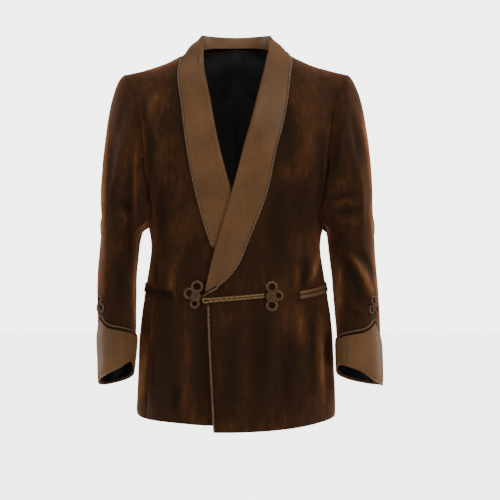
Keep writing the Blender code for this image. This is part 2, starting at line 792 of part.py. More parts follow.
def cord(name, points, radius, closed=False):
    """A round cord along a line of points."""
    data = bpy.data.curves.new(name, "CURVE")
    data.dimensions = "3D"
    data.bevel_depth = radius
    data.bevel_resolution = 2
    data.use_fill_caps = not closed
    spline = data.splines.new("POLY")
    spline.points.add(len(points) - 1)
    for target, point in zip(spline.points, points):
        target.co = (*point, 1.0)
    spline.use_cyclic_u = closed
    line = bpy.data.objects.new(name + "_line", data)
    JACKET.objects.link(line)
    graph = bpy.context.evaluated_depsgraph_get()
    mesh = bpy.data.meshes.new_from_object(line.evaluated_get(graph))
    bpy.data.objects.remove(line, do_unlink=True)
    mesh.name = name
    shape = bpy.data.objects.new(name, mesh)
    JACKET.objects.link(shape)
    settle(shape, CORD_COLOUR, 0.55)
    return shape


def collar_stations(side):
    """Roll, edge, foot, outward direction and fold for each station of a collar half."""
    table = LEFT_LAPEL if side > 0 else RIGHT_LAPEL
    mirror = np.array((side, 1.0, 1.0))
    rows = []
    for row in NECK_COLLAR:
        roll, edge, foot = row[0:3] * mirror, row[3:6] * mirror, row[6:9] * mirror
        outward = np.array((roll[0], roll[1] - 0.005, 0.0))
        outward /= np.linalg.norm(outward)
        out = np.array((0.0, 0.0, 1.0)) + outward * 0.1
        rows.append(np.concatenate([roll, edge, foot, out / np.linalg.norm(out), [1.0]]))
    for roll_x, roll_z, edge_x, edge_z, fold in table:
        angle, share = front_place(side, roll_x, roll_z)
        place = body(angle, share, side)
        out = body_normal(angle, share, side)
        lift = layer(angle, place[0], place[2], side)
        angle_edge, share_edge = front_place(side, edge_x, edge_z)
        edge = body(angle_edge, share_edge, side)
        edge_out = body_normal(angle_edge, share_edge, side)
        lift_edge = layer(angle_edge, edge[0], edge[2], side)
        roll = place + out * (lift + 0.0016 + 0.0022 * fold)
        foot = place + out * (lift + 0.0016 - 0.0030 * fold)
        rows.append(np.concatenate([roll, edge + edge_out * (lift_edge + 0.0016), foot, out, [fold]]))
    return np.array(rows)


def build_collar(side, under):
    """One half of the shawl collar: foot, fold and fall."""
    stations = resample(collar_stations(side), COLLAR_ROWS)
    outer = []
    inner = []
    rolls = stations[:, 0:3]
    tangents = np.gradient(rolls, axis=0)
    edges = []
    for i, row in enumerate(stations):
        roll, edge, foot, out, fold = row[0:3], row[3:6], row[6:9], row[9:12], row[12]
        along = tangents[i] / np.linalg.norm(tangents[i])
        out = out / np.linalg.norm(out)
        across = edge - roll
        across -= out * np.dot(across, out)
        across -= along * np.dot(across, along)
        across /= np.linalg.norm(across)
        width = np.linalg.norm(edge - roll)
        foot = foot - across * 0.0040 * (1.0 - fold)
        path = [foot]
        if i < NECK_ROWS:
            path.append(foot + (roll - foot) * 0.55 - across * 0.0006)
        else:
            path.append(foot + (roll - foot) * 0.45)
        reach = min(1.0, width / 0.024)
        path.append(roll - out * 0.0002 * fold + across * 0.0012 * reach)
        path.append(roll + across * 0.0045 * reach + out * 0.0002 * fold)
        for part in (0.22, 0.48, 0.74, 1.0):
            spot = roll + (edge - roll) * part
            if i < NECK_ROWS:
                spot = spot + (out * 0.35 + across) * 0.006 * math.sin(math.pi * part) * 0.7
            over = 0.0010 + 0.0014 * (1.0 - part) ** 3 * fold
            extra = 0.0008 if i < NECK_ROWS + 3 else 0.0
            settled = i >= NECK_ROWS or part == 1.0
            spot = seat(under, spot, SATIN / 2.0 + over + extra, exact=settled)
            path.append(spot)
        path = np.array(path)
        bends = np.gradient(path, axis=0)
        bends /= np.linalg.norm(bends, axis=1, keepdims=True)
        faces_out = np.cross(np.tile(along, (len(path), 1)), bends) * side
        faces_out /= np.linalg.norm(faces_out, axis=1, keepdims=True)
        if np.dot(faces_out[-2], out + across * 0.3) < 0.0:
            faces_out = -faces_out
        outer.append(path + faces_out * SATIN / 2.0)
        inner.append(path - faces_out * SATIN / 2.0)
        edges.append(path[-1])
    outer = np.array(outer)
    inner = np.array(inner)
    shift = np.array((side * SEAM, 0.0, 0.0))
    outer[0] += shift
    inner[0] += shift
    name = "left_collar" if side > 0 else "right_collar"
    return wall(name, outer, inner, SATIN_COLOUR, 0.5), np.array(edges), rolls, (outer + inner) / 2.0


def build_collar_cord(side, edges, skin, under):
    """Cord that lies against the outer edge of a collar half."""
    last = len(edges) if side > 0 else len(edges) - 1
    points = []
    for edge, row in zip(edges[:last], skin[:last]):
        step = row[-1] - row[-2]
        step /= np.linalg.norm(step)
        points.append(edge + step * (CORD + 0.0006))
    points = even_steps(points, 50)
    sheet = tree_of([skin])
    laid = []
    for point in points:
        spot = point
        for _ in range(8):
            rise = 0.0011 * smooth(-0.14, -0.06, spot[2]) + 0.0012 * smooth(-0.03, -0.012, spot[2])
            spot = seat(under, spot, CORD + 0.0005 + rise)
            spot = keep_off(sheet, spot, CORD + SATIN / 2.0 + 0.0006 + 0.6 * rise)
        laid.append(spot)
    laid = np.array(laid)
    laid[1:-1] = 0.25 * laid[:-2] + 0.5 * laid[1:-1] + 0.25 * laid[2:]
    laid[0][0] = side * 0.0003
    laid[1][1:] = laid[0][1:]
    name = "left_collar_cord" if side > 0 else "right_collar_cord"
    return cord(name, laid, CORD)


def on_front(side, seen_x, seen_z, off):
    """A point seen from the eye, a set distance off one front."""
    angle, share = front_place(side, seen_x, seen_z)
    place = body(angle, share, side)
    lift = layer(angle, place[0], place[2], side) + fold_push(angle, place[2])
    return place + body_normal(angle, share, side) * (lift + off)


def build_frog(name, loops, cord_radius, knot, steps, bend):
    """A three-looped frog with its knot, made flat and then laid on the cloth."""
    solids = []
    for across, up, radius in loops:
        bpy.ops.mesh.primitive_torus_add(major_segments=steps, minor_segments=6,
                                         major_radius=radius, minor_radius=cord_radius,
                                         location=(across, up, cord_radius))
        solids.append(bpy.context.object)
    bpy.ops.mesh.primitive_uv_sphere_add(segments=12, ring_count=6, radius=knot,
                                         location=(0.0, 0.0, cord_radius * 1.9))
    ball = bpy.context.object
    ball.scale = (1.0, 1.0, cord_radius * 1.75 / knot)
    bpy.context.view_layer.update()
    for other in solids:
        joint = ball.modifiers.new("joint", "BOOLEAN")
        joint.operation = "UNION"
        joint.solver = "EXACT"
        joint.object = other
    bpy.context.view_layer.update()
    graph = bpy.context.evaluated_depsgraph_get()
    mesh = bpy.data.meshes.new_from_object(ball.evaluated_get(graph))
    mesh.transform(ball.matrix_world)
    for old in solids + [ball]:
        bpy.data.objects.remove(old, do_unlink=True)
    for vertex in mesh.vertices:
        vertex.co = Vector(bend(*vertex.co))
    mesh.name = name
    shape = bpy.data.objects.new(name, mesh)
    JACKET.objects.link(shape)
    settle(shape, CORD_COLOUR, 0.55)
    return shape


def build_closure():
    """The two frogs of the front and the doubled cord between them."""
    def on_right(u, v, w):
        return on_front(-1, RIGHT_KNOT[0] + u, RIGHT_KNOT[1] + v, w + 0.0005)

    def on_left(u, v, w):
        return on_front(1, LEFT_KNOT[0] + u, LEFT_KNOT[1] + v, w + 0.0005)

    build_frog("right_frog", RIGHT_FROG, 0.0021, KNOT, 14, on_right)
    build_frog("left_frog", LEFT_FROG, 0.0021, KNOT, 14, on_left)
    line = resample(BRIDGE, 11)
    upper = [(x, z + spread) for x, z, spread in line]
    lower = [(x, z - spread) for x, z, spread in line]
    x, z, spread = line[-1]
    turn = []
    for i in range(1, 7):
        angle = math.pi / 2.0 + math.pi * i / 7.0
        turn.append((x + spread * math.cos(angle), z + spread * math.sin(angle)))
    seen = upper + turn + lower[::-1]
    points = [on_front(1, x, z, CORD + 0.0005) for x, z in seen]
    cord("frog_bridge", points, CORD)


def build_front_cord():
    """Cord down the edge of the left front, from the closure to the hem."""
    points = []
    for z in np.linspace(-0.5035, -0.7510, 14):
        x = column(LEFT_EDGE, 1, z) + 0.0016
        points.append(on_front(1, x, z, CORD + 0.0006))
    cord("front_edge_cord", points, CORD)


def build_cuff_trims(side):
    """Cord above a cuff and the small frog above its peak."""
    word = "left" if side > 0 else "right"
    points = []
    for angle in cuff_angles(side, 22):
        z = cuff_top(side, angle) + 0.0068
        points.append(arm_surface(side, angle, z, THIN_CORD + 0.0007))
    cord(word + "_cuff_cord", points, THIN_CORD, closed=True)

    def on_arm(u, v, w):
        height = CUFF_FROG_HEIGHT + CUFF_SHIFT[side] * 0.5 + v
        return arm_surface(side, CUFF_PEAK[side] - u / 0.046, height, w + 0.0006)

    build_frog(word + "_cuff_frog", CUFF_FROG, THIN_CORD, 0.0046, 10, on_arm)


def build_pocket(side):
    """The two jets of one hip pocket."""
    word = "left" if side > 0 else "right"
    start, _ = front_place(1, POCKET_FRONT[0], POCKET_FRONT[1])
    first_z = true_place(0.0, POCKET_FRONT[1], -0.085)[1]
    for name, low in (("upper_jet", JET_GAP), ("lower_jet", -JET_GAP - JET_HEIGHT)):
        outer = []
        inner = []
        for i in range(3):
            row_out = []
            row_in = []
            for c in range(11):
                part = c / 10.0
                angle = side * (start + (POCKET_BACK[0] - start) * part)
                z = first_z + (POCKET_BACK[1] - first_z) * part + low + JET_HEIGHT * i / 2.0
                share = (z - ARMPIT) / (ARMPIT - hem_height(angle, side))
                place = body(angle, share)
                out = body_normal(angle, share)
                push = fold_push(angle, z) + layer(angle, place[0], z, side)
                row_in.append(place + out * (push + 0.0009))
                row_out.append(place + out * (push + (0.0027 if i == 1 else 0.0019)))
            outer.append(row_out)
            inner.append(row_in)
        colour, rough = (SATIN_COLOUR, 0.5) if side > 0 else (VELVET, 0.9)
        wall(word + "_pocket_" + name, np.array(outer), np.array(inner), colour, rough)


def clear_scene():
    """Takes everything out of the scene."""
    for old in list(bpy.data.objects):
        bpy.data.objects.remove(old, do_unlink=True)


clear_scene()
JACKET = bpy.data.collections.new("smoking_jacket")
bpy.context.scene.collection.children.link(JACKET)

PIECES = {}
SKINS = {}
for side, word in ((1, "left"), (-1, "right")):
    PIECES[word + "_front"], SKINS[word + "_front"] = build_front(side)
    PIECES[word + "_side"], SKINS[word + "_side"] = build_side(side)
    PIECES[word + "_back"], SKINS[word + "_back"] = build_back(side)
    sleeves, _ = build_sleeve(side)
    PIECES[word + "_top_sleeve"], PIECES[word + "_under_sleeve"] = sleeves
    PIECES[word + "_cuff"] = build_cuff(side)

for side, word in ((-1, "right"), (1, "left")):
    under = tree_of([SKINS[word + "_front"], SKINS["left_back"], SKINS["right_back"]])
    collar, edges, rolls, skin = build_collar(side, under)
    PIECES[word + "_collar"] = collar
    PIECES[word + "_collar_cord"] = build_collar_cord(side, edges, skin, under)
    build_cuff_trims(side)
    build_pocket(side)

build_closure()
build_front_cord()
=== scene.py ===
# %% [markdown]
# A smoking jacket in brown velvet, with a shawl collar and turned-back cuffs in dull silk satin,
# edged and fastened with twisted silk cord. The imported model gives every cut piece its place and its
# size, so this lesson starts from it and dresses each piece: cloth is made finer, creased and given a
# lining, cords are twisted from strands, and each finish is built from what it is made of.

import math

import bmesh
import bpy
import numpy as np
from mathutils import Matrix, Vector, noise
from mathutils.bvhtree import BVHTree
from mathutils.kdtree import KDTree


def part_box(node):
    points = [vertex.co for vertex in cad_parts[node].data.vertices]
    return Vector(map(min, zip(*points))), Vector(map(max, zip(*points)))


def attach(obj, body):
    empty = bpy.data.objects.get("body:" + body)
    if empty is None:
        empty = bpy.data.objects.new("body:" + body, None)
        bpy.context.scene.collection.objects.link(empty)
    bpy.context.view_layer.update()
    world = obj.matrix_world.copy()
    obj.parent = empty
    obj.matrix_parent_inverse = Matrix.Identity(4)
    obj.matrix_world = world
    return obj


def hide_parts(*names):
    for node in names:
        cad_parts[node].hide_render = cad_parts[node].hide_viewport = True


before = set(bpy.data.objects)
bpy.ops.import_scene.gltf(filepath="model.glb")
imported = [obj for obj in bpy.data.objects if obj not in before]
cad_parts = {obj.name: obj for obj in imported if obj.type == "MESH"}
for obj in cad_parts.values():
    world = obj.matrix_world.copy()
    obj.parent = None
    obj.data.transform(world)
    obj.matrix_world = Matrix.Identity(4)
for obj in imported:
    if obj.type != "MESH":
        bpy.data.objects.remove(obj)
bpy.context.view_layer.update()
print("cut pieces and trims in the frame:", len(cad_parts))

# %% [markdown]
# The camera stands level in front of the jacket, three metres away, at the height of the waist. One
# pixel of the picture is 1.97 mm at the shoulders. The jacket stands a little left of the middle, so
# the lens is shifted by that much instead of the camera being turned.

# %% The camera
PIXEL = 0.00197
EYE_BACK = 3.0
EYE_HEIGHT = -0.394
MIDDLE_ACROSS = 236.0
MIDDLE_DOWN = 250.0
FRAME_PIXELS = 500.0
SENSOR = 36.0

camera_data = bpy.data.cameras.new("camera")
camera_data.sensor_width = SENSOR
camera_data.lens = SENSOR * EYE_BACK / (FRAME_PIXELS * PIXEL)
camera_data.shift_x = (FRAME_PIXELS / 2.0 - MIDDLE_ACROSS) / FRAME_PIXELS
camera = bpy.data.objects.new("camera", camera_data)
camera.location = (0.0, -EYE_BACK, EYE_HEIGHT)
camera.rotation_euler = (math.pi / 2.0, 0.0, 0.0)
bpy.context.scene.collection.objects.link(camera)
bpy.context.scene.camera = camera
print("lens in mm:", round(camera_data.lens, 1))

# %% [markdown]
# Velvet shows its folds by its sheen, so the light is soft and comes from several sides: a wide key
# light from the upper right, a weaker one from the left, one from above and one behind each shoulder.
# The floor is a pale disc well below the hem, and the world around it is as pale.


# %% Colours and nodes
def linear(code):
    """Turns an sRGB hex value into the linear colour that a shader takes."""
    parts = [int(code[i:i + 2], 16) / 255.0 for i in (1, 3, 5)]
    return tuple(p / 12.92 if p <= 0.04045 else ((p + 0.055) / 1.055) ** 2.4 for p in parts) + (1.0,)


def add(tree, kind, sockets=None, stops=(), **settings):
    """Adds one node: its settings, its colour stops, and a value or a link for each named socket."""
    node = tree.nodes.new(kind)
    for name, value in settings.items():
        setattr(node, name, value)
    for index, (place, colour) in enumerate(stops):
        if index < 2:
            element = node.color_ramp.elements[index]
            element.position = place
        else:
            element = node.color_ramp.elements.new(place)
        element.color = linear(colour)
    for name, value in (sockets or {}).items():
        if isinstance(value, bpy.types.NodeSocket):
            tree.links.new(value, node.inputs[name])
        else:
            node.inputs[name].default_value = value
    return node


def new_finish(name):
    """A new material with an empty node tree and its output node."""
    finish = bpy.data.materials.new(name)
    finish.use_nodes = True
    finish.node_tree.nodes.clear()
    return finish, finish.node_tree, add(finish.node_tree, "ShaderNodeOutputMaterial")


# %% Floor, world and lights
FLOOR_DEPTH = -1.30
BACKDROP_GLOW = 5.0
FLOOR_GLOW = 4.5
ROOM_LIGHT = 0.34

world = bpy.data.worlds.new("pale_room")
bpy.context.scene.world = world
world.use_nodes = True
ray = add(world.node_tree, "ShaderNodeLightPath")
glow = add(world.node_tree, "ShaderNodeMapRange",
           {"Value": ray.outputs["Is Camera Ray"], "To Min": ROOM_LIGHT, "To Max": BACKDROP_GLOW})
background = world.node_tree.nodes["Background"]
background.inputs["Color"].default_value = linear("#fbfaf8")
world.node_tree.links.new(glow.outputs[0], background.inputs["Strength"])

bpy.ops.object.select_all(action="DESELECT")
bpy.ops.mesh.primitive_circle_add(vertices=64, radius=14.0, fill_type="NGON",
                                  location=(0.0, 0.0, FLOOR_DEPTH))
floor = bpy.context.object
floor.name = "floor"
paper, tree, output = new_finish("matt_white_paper")
paper_shader = add(tree, "ShaderNodeBsdfPrincipled",
                   {"Base Color": linear("#f6f5f3"), "Roughness": 0.9, "Specular IOR Level": 0.1})
paper_glow = add(tree, "ShaderNodeEmission",
                 {"Color": linear("#fbfaf8"), "Strength": FLOOR_GLOW})
ray = add(tree, "ShaderNodeLightPath")
paper_look = add(tree, "ShaderNodeMixShader",
                 {0: ray.outputs["Is Camera Ray"], 1: paper_shader.outputs[0],
                  2: paper_glow.outputs[0]})
tree.links.new(paper_look.outputs[0], output.inputs[0])
floor.data.materials.append(paper)

# Place, width, height, watts of each lamp.
LAMPS = {
    "key": ((2.4, -2.3, 1.6), 1.3, 1.5, 100.0),
    "fill": ((-2.8, -2.0, 0.5), 1.6, 2.0, 44.0),
    "top": ((0.0, -0.6, 2.4), 1.8, 1.2, 26.0),
    "left_rim": ((2.6, 1.2, 0.2), 0.9, 2.0, 62.0),
    "right_rim": ((-2.6, 1.2, 0.2), 0.9, 2.0, 62.0),
}
AIM = Vector((0.0, 0.0, -0.35))
for name, (place, width, height, watts) in LAMPS.items():
    lamp_data = bpy.data.lights.new(name, "AREA")
    lamp_data.shape = "RECTANGLE"
    lamp_data.size = width
    lamp_data.size_y = height
    lamp_data.energy = watts
    lamp = bpy.data.objects.new(name, lamp_data)
    lamp.location = place
    lamp.rotation_euler = (AIM - Vector(place)).to_track_quat("-Z", "Y").to_euler()
    bpy.context.scene.collection.objects.link(lamp)
print("lamps:", len(LAMPS))

# %% [markdown]
# Velvet has a short upright pile. Seen along the pile it is very dark, and at a grazing angle its
# fibres catch the light as a reddish sheen. Brushing lays the pile down in patches, which show as soft
# lighter and darker clouds. The cloth's own map "lay" adds a painted highlight along the top of each
# fold and painted shade in its trough, and raises the sheen's weight with them. The pile is about 0.5
# mm, too fine for the picture, so its grain is drawn at about 1.2 mm.

# %% Cotton velvet
velvet, tree, output = new_finish("brushed_cotton_velvet")
spot = add(tree, "ShaderNodeTexCoord").outputs["Object"]
drawn = add(tree, "ShaderNodeMapping", {"Vector": spot, "Scale": (1.0, 1.0, 0.35)})
clouds = add(tree, "ShaderNodeTexNoise",
             {"Vector": drawn.outputs[0], "Scale": 17.0, "Detail": 4.0, "Roughness": 0.6})
pile = add(tree, "ShaderNodeTexNoise", {"Vector": spot, "Scale": 850.0, "Detail": 2.0})
streaks = add(tree, "ShaderNodeTexNoise",
              {"Vector": drawn.outputs[0], "Scale": 120.0, "Detail": 3.0, "Roughness": 0.55})
mixed = add(tree, "ShaderNodeMath", {0: clouds.outputs["Fac"], 1: 0.40, 2: 0.20},
            operation="MULTIPLY_ADD")
mixed = add(tree, "ShaderNodeMath",
            {0: streaks.outputs["Fac"], 1: 0.20, 2: mixed.outputs[0]}, operation="MULTIPLY_ADD")
# The map "lay" paints a highlight along the ridge of each fold and shade in its trough. The ramp's
# upper stops carry these painted highlights and its lower stops the painted shade, along with the
# brushed clouds.
lay = add(tree, "ShaderNodeAttribute", attribute_name="lay")
brushed_and_fold_shade = add(tree, "ShaderNodeMath", {0: lay.outputs["Fac"], 1: 0.5}, operation="SUBTRACT")
brushed_and_fold_shade = add(tree, "ShaderNodeMath", {0: brushed_and_fold_shade.outputs[0], 1: 0.48, 2: mixed.outputs[0]},
              operation="MULTIPLY_ADD")
tone = add(tree, "ShaderNodeValToRGB", {"Fac": brushed_and_fold_shade.outputs[0]},
           stops=((0.28, "#160b03"), (0.48, "#261506"), (0.62, "#402410"), (0.76, "#684326")))
sheen = add(tree, "ShaderNodeMapRange",
            {"Value": brushed_and_fold_shade.outputs[0], "From Min": 0.30, "From Max": 0.80,
             "To Min": 0.40, "To Max": 1.0})
relief = add(tree, "ShaderNodeMath", {0: pile.outputs["Fac"], 1: 0.5, 2: mixed.outputs[0]},
             operation="MULTIPLY_ADD")
bump = add(tree, "ShaderNodeBump",
           {"Height": relief.outputs[0], "Strength": 0.35, "Distance": 0.0006})
shader = add(tree, "ShaderNodeBsdfPrincipled",
             {"Base Color": tone.outputs[0], "Roughness": 0.92, "Specular IOR Level": 0.12,
              "Sheen Weight": sheen.outputs[0], "Sheen Roughness": 0.40,
              "Sheen Tint": linear("#d08a66"),
              "Normal": bump.outputs[0]})
tree.links.new(shader.outputs[0], output.inputs[0])

# %% [markdown]
# The facings of the collar and the cuffs are a heavy dull silk satin. Its warp threads float along
# the cloth and its weft shows as very fine ribs across, so it has a soft broad gloss. The ribs are
# about 0.6 mm apart on the real cloth and are drawn 3.2 mm apart, so that they only just show.

# %% Dull silk satin
satin, tree, output = new_finish("ribbed_silk_satin")
spot = add(tree, "ShaderNodeTexCoord").outputs["Object"]
ribs = add(tree, "ShaderNodeTexWave",
           {"Vector": spot, "Scale": 98.0, "Distortion": 1.2, "Detail": 2.0, "Detail Scale": 3.0},
           bands_direction="Z")
threads = add(tree, "ShaderNodeMapping", {"Vector": spot, "Scale": (1.0, 1.0, 0.12)})
threads = add(tree, "ShaderNodeTexNoise",
              {"Vector": threads.outputs[0], "Scale": 520.0, "Detail": 3.0})
shading = add(tree, "ShaderNodeTexNoise", {"Vector": spot, "Scale": 14.0, "Detail": 3.0})
mixed = add(tree, "ShaderNodeMath", {0: threads.outputs["Fac"], 1: 0.35, 2: 0.0},
            operation="MULTIPLY_ADD")
mixed = add(tree, "ShaderNodeMath", {0: shading.outputs["Fac"], 1: 0.65, 2: mixed.outputs[0]},
            operation="MULTIPLY_ADD")
tone = add(tree, "ShaderNodeValToRGB", {"Fac": mixed.outputs[0]},
           stops=((0.34, "#4d341e"), (0.52, "#5a3e25"), (0.68, "#66482b")))
relief = add(tree, "ShaderNodeMath",
             {0: ribs.outputs["Fac"], 1: 0.55, 2: threads.outputs["Fac"]}, operation="MULTIPLY_ADD")
bump = add(tree, "ShaderNodeBump",
           {"Height": relief.outputs[0], "Strength": 0.16, "Distance": 0.0004})
shader = add(tree, "ShaderNodeBsdfPrincipled",
             {"Base Color": tone.outputs[0], "Roughness": 0.52, "Specular IOR Level": 0.16,
              "Anisotropic": 0.35, "Sheen Weight": 0.25, "Sheen Roughness": 0.4,
              "Sheen Tint": linear("#b98a5c"), "Normal": bump.outputs[0]})
tree.links.new(shader.outputs[0], output.inputs[0])

# %% Black lining satin, smooth and thin, seen in the cuffs, at the hem and through the neck
lining, tree, output = new_finish("black_lining_satin")
spot = add(tree, "ShaderNodeTexCoord").outputs["Object"]
weave = add(tree, "ShaderNodeTexNoise", {"Vector": spot, "Scale": 60.0, "Detail": 3.0})
tone = add(tree, "ShaderNodeValToRGB", {"Fac": weave.outputs["Fac"]},
           stops=((0.35, "#0d0b0a"), (0.65, "#191614")))
bump = add(tree, "ShaderNodeBump",
           {"Height": weave.outputs["Fac"], "Strength": 0.2, "Distance": 0.0010})
shader = add(tree, "ShaderNodeBsdfPrincipled",
             {"Base Color": tone.outputs[0], "Roughness": 0.42, "Normal": bump.outputs[0]})
tree.links.new(shader.outputs[0], output.inputs[0])

# %% [markdown]
# The trimming cord is two silk strands twisted together. Each strand is itself a bundle of shiny
# threads laid at a slant, which the strand's own map of length and turn draws as fine slanted lines.
# The second strand is painted darker, as painted shade that stands for the light and dark of the
# twist, and its map starts ten turns on. The edging and the frogs are brown, and the doubled cord that
# bridges the front is more golden.

# %% Twisted silk cord
SECOND_STRAND = 10.0


def cord_finish(name, dark, middle, light, shadow):
    """Silk cord in three tones of silk, whose second strand is painted darker by the share shadow as
    painted shade.
    """
    finish, tree, output = new_finish(name)
    strand_map = add(tree, "ShaderNodeUVMap", uv_map="strand")
    filaments = add(tree, "ShaderNodeTexWave",
                    {"Vector": strand_map.outputs[0], "Scale": 1.4, "Distortion": 0.8, "Detail": 2.0},
                    bands_direction="DIAGONAL")
    spot = add(tree, "ShaderNodeTexCoord").outputs["Object"]
    wear = add(tree, "ShaderNodeTexNoise", {"Vector": spot, "Scale": 240.0, "Detail": 3.0})
    mixed = add(tree, "ShaderNodeMath",
                {0: filaments.outputs["Fac"], 1: 0.45, 2: 0.0}, operation="MULTIPLY_ADD")
    mixed = add(tree, "ShaderNodeMath",
                {0: wear.outputs["Fac"], 1: 0.55, 2: mixed.outputs[0]}, operation="MULTIPLY_ADD")
    tone = add(tree, "ShaderNodeValToRGB", {"Fac": mixed.outputs[0]},
               stops=((0.22, dark), (0.50, middle), (0.80, light)))
    # The second strand is painted darker here: painted shade for the twist.
    turned = add(tree, "ShaderNodeSeparateXYZ", {0: strand_map.outputs[0]})
    second = add(tree, "ShaderNodeMath", {0: turned.outputs["Y"], 1: SECOND_STRAND / 2.0},
                 operation="GREATER_THAN")
    darker = add(tree, "ShaderNodeMapRange",
                 {"Value": second.outputs[0], "To Min": 1.0, "To Max": shadow})
    tone = add(tree, "ShaderNodeVectorMath", {0: tone.outputs[0], 1: darker.outputs[0]},
               operation="MULTIPLY")
    bump = add(tree, "ShaderNodeBump",
               {"Height": mixed.outputs[0], "Strength": 0.5, "Distance": 0.0004})
    shader = add(tree, "ShaderNodeBsdfPrincipled",
                 {"Base Color": tone.outputs[0], "Roughness": 0.48, "Specular IOR Level": 0.5,
                  "Sheen Weight": 0.4, "Sheen Roughness": 0.4, "Sheen Tint": linear("#c99c6c"),
                  "Normal": bump.outputs[0]})
    tree.links.new(shader.outputs[0], output.inputs[0])
    return finish


braid = cord_finish("twisted_brown_silk_cord", "#3b2817", "#664a31", "#8b6b4a", 0.50)
gilt = cord_finish("twisted_golden_silk_cord", "#4c3719", "#80632f", "#a3854a", 0.50)
print("finishes:", velvet.name, satin.name, lining.name, braid.name, gilt.name)

# %% [markdown]
# A cut piece in the frame is a closed wall of loose triangles, two millimetres thick. Cloth needs only
# its outer face: the triangles are merged, the wall is parted where it turns sharply, and the face
# that looks away from the wearer is kept. Subdivision rounds that sheet, and would shrink it, so the
# sheet is first blown up by as much. That keeps the finished cloth where the frame has it.

# %% Copy a cut piece
SHARP = math.radians(50.0)
VELVET_LEVELS = 3
CORNERS_MERGE = 0.00002
OUTWARD_SHARE = 0.35
SMALL_PATCH = 0.002
CAGE_ROUNDS = 3

# The middle of an arm at the shoulder, how far it moves out and forward, and the highest point of the
# middle of the arm and of the body.
ARM_TOP = -0.10
ARM_LENGTH = 0.55
ARM_MIDDLE = 0.218
ARM_OUTWARD = 0.020
ARM_FORWARD = 0.045
ARM_HIGHEST = -0.11
BODY_HIGHEST = -0.16


def heart(name, place):
    """The point inside the body or the arm that a piece of the garment faces away from."""
    side = 1.0 if name.startswith("left") else -1.0
    if "sleeve" in name or "cuff" in name:
        down = min(max((ARM_TOP - place[2]) / ARM_LENGTH, 0.0), 1.0)
        across = side * (ARM_MIDDLE + ARM_OUTWARD * down)
        return Vector((across, -ARM_FORWARD * down, min(place[2], ARM_HIGHEST)))
    return Vector((0.0, 0.0, min(place[2], BODY_HIGHEST)))


def merged(name):
    """The triangles of a node, joined at their corners."""
    shape = bmesh.new()
    shape.from_mesh(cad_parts[name].data)
    bmesh.ops.remove_doubles(shape, verts=shape.verts, dist=CORNERS_MERGE)
    shape.verts.index_update()
    return shape


def patches(shape):
    """Faces of a shape in groups that meet without a sharp turn, in the same order each run."""
    waiting = dict.fromkeys(shape.faces)
    groups = []
    while waiting:
        stack = [next(iter(waiting))]
        del waiting[stack[0]]
        group = []
        while stack:
            face = stack.pop()
            group.append(face)
            for edge in face.edges:
                if len(edge.link_faces) == 2 and edge.calc_face_angle() < SHARP:
                    for other in edge.link_faces:
                        if other in waiting:
                            del waiting[other]
                            stack.append(other)
        groups.append(group)
    return groups


def sheet_of(shape):
    """Points and faces of a shape, with its triangles paired."""
    bmesh.ops.join_triangles(shape, faces=list(shape.faces), angle_face_threshold=SHARP,
                             angle_shape_threshold=math.pi)
    shape.verts.index_update()
    points = np.array([v.co for v in shape.verts])
    faces = [[v.index for v in f.verts] for f in shape.faces]
    shape.free()
    return points, faces


def outer_face(name):
    """Points and faces of the outer side of one cut piece."""
    shape = merged(name)
    for group in patches(shape):
        outward = 0.0
        area = 0.0
        for face in group:
            spot = face.calc_center_median()
            outward += face.calc_area() * face.normal.dot((spot - heart(name, spot)).normalized())
            area += face.calc_area()
        if outward < OUTWARD_SHARE * area or area < SMALL_PATCH:
            bmesh.ops.delete(shape, geom=group, context="FACES")
    return sheet_of(shape)


def subdivided(points, faces, levels, creased=False):
    """The same surface with finer faces, as a mesh."""
    mesh = bpy.data.meshes.new("finer")
    mesh.from_pydata([tuple(p) for p in points], [], faces)
    if creased:
        crease_sharp_edges(mesh)
    shape = bpy.data.objects.new("finer", mesh)
    bpy.context.scene.collection.objects.link(shape)
    finer = shape.modifiers.new("finer", "SUBSURF")
    finer.levels = levels
    finer.render_levels = levels
    finer.boundary_smooth = "PRESERVE_CORNERS"
    graph = bpy.context.evaluated_depsgraph_get()
    result = bpy.data.meshes.new_from_object(shape.evaluated_get(graph))
    bpy.data.objects.remove(shape, do_unlink=True)
    bpy.data.meshes.remove(mesh)
    return result


def crease_sharp_edges(mesh):
    """Marks the edges where a wall turns sharply, so that subdivision keeps them."""
    shape = bmesh.new()
    shape.from_mesh(mesh)
    layer = shape.edges.layers.float.new("crease_edge")
    for edge in shape.edges:
        if len(edge.link_faces) == 2 and edge.calc_face_angle() > SHARP:
            edge[layer] = 1.0
    shape.to_mesh(mesh)
    shape.free()


def coordinates(mesh):
    """All points of a mesh as an array."""
    flat = np.empty(len(mesh.vertices) * 3)
    mesh.vertices.foreach_get("co", flat)
    return flat.reshape(-1, 3)


def smoothed(points, faces, levels, creased=False):
    """A finer mesh that still passes through the given points."""
    cage = points.copy()
    for _ in range(CAGE_ROUNDS):
        coarse = subdivided(cage, faces, 1, creased)
        cage += points - coordinates(coarse)[:len(points)]
        bpy.data.meshes.remove(coarse)
    return subdivided(cage, faces, levels, creased)
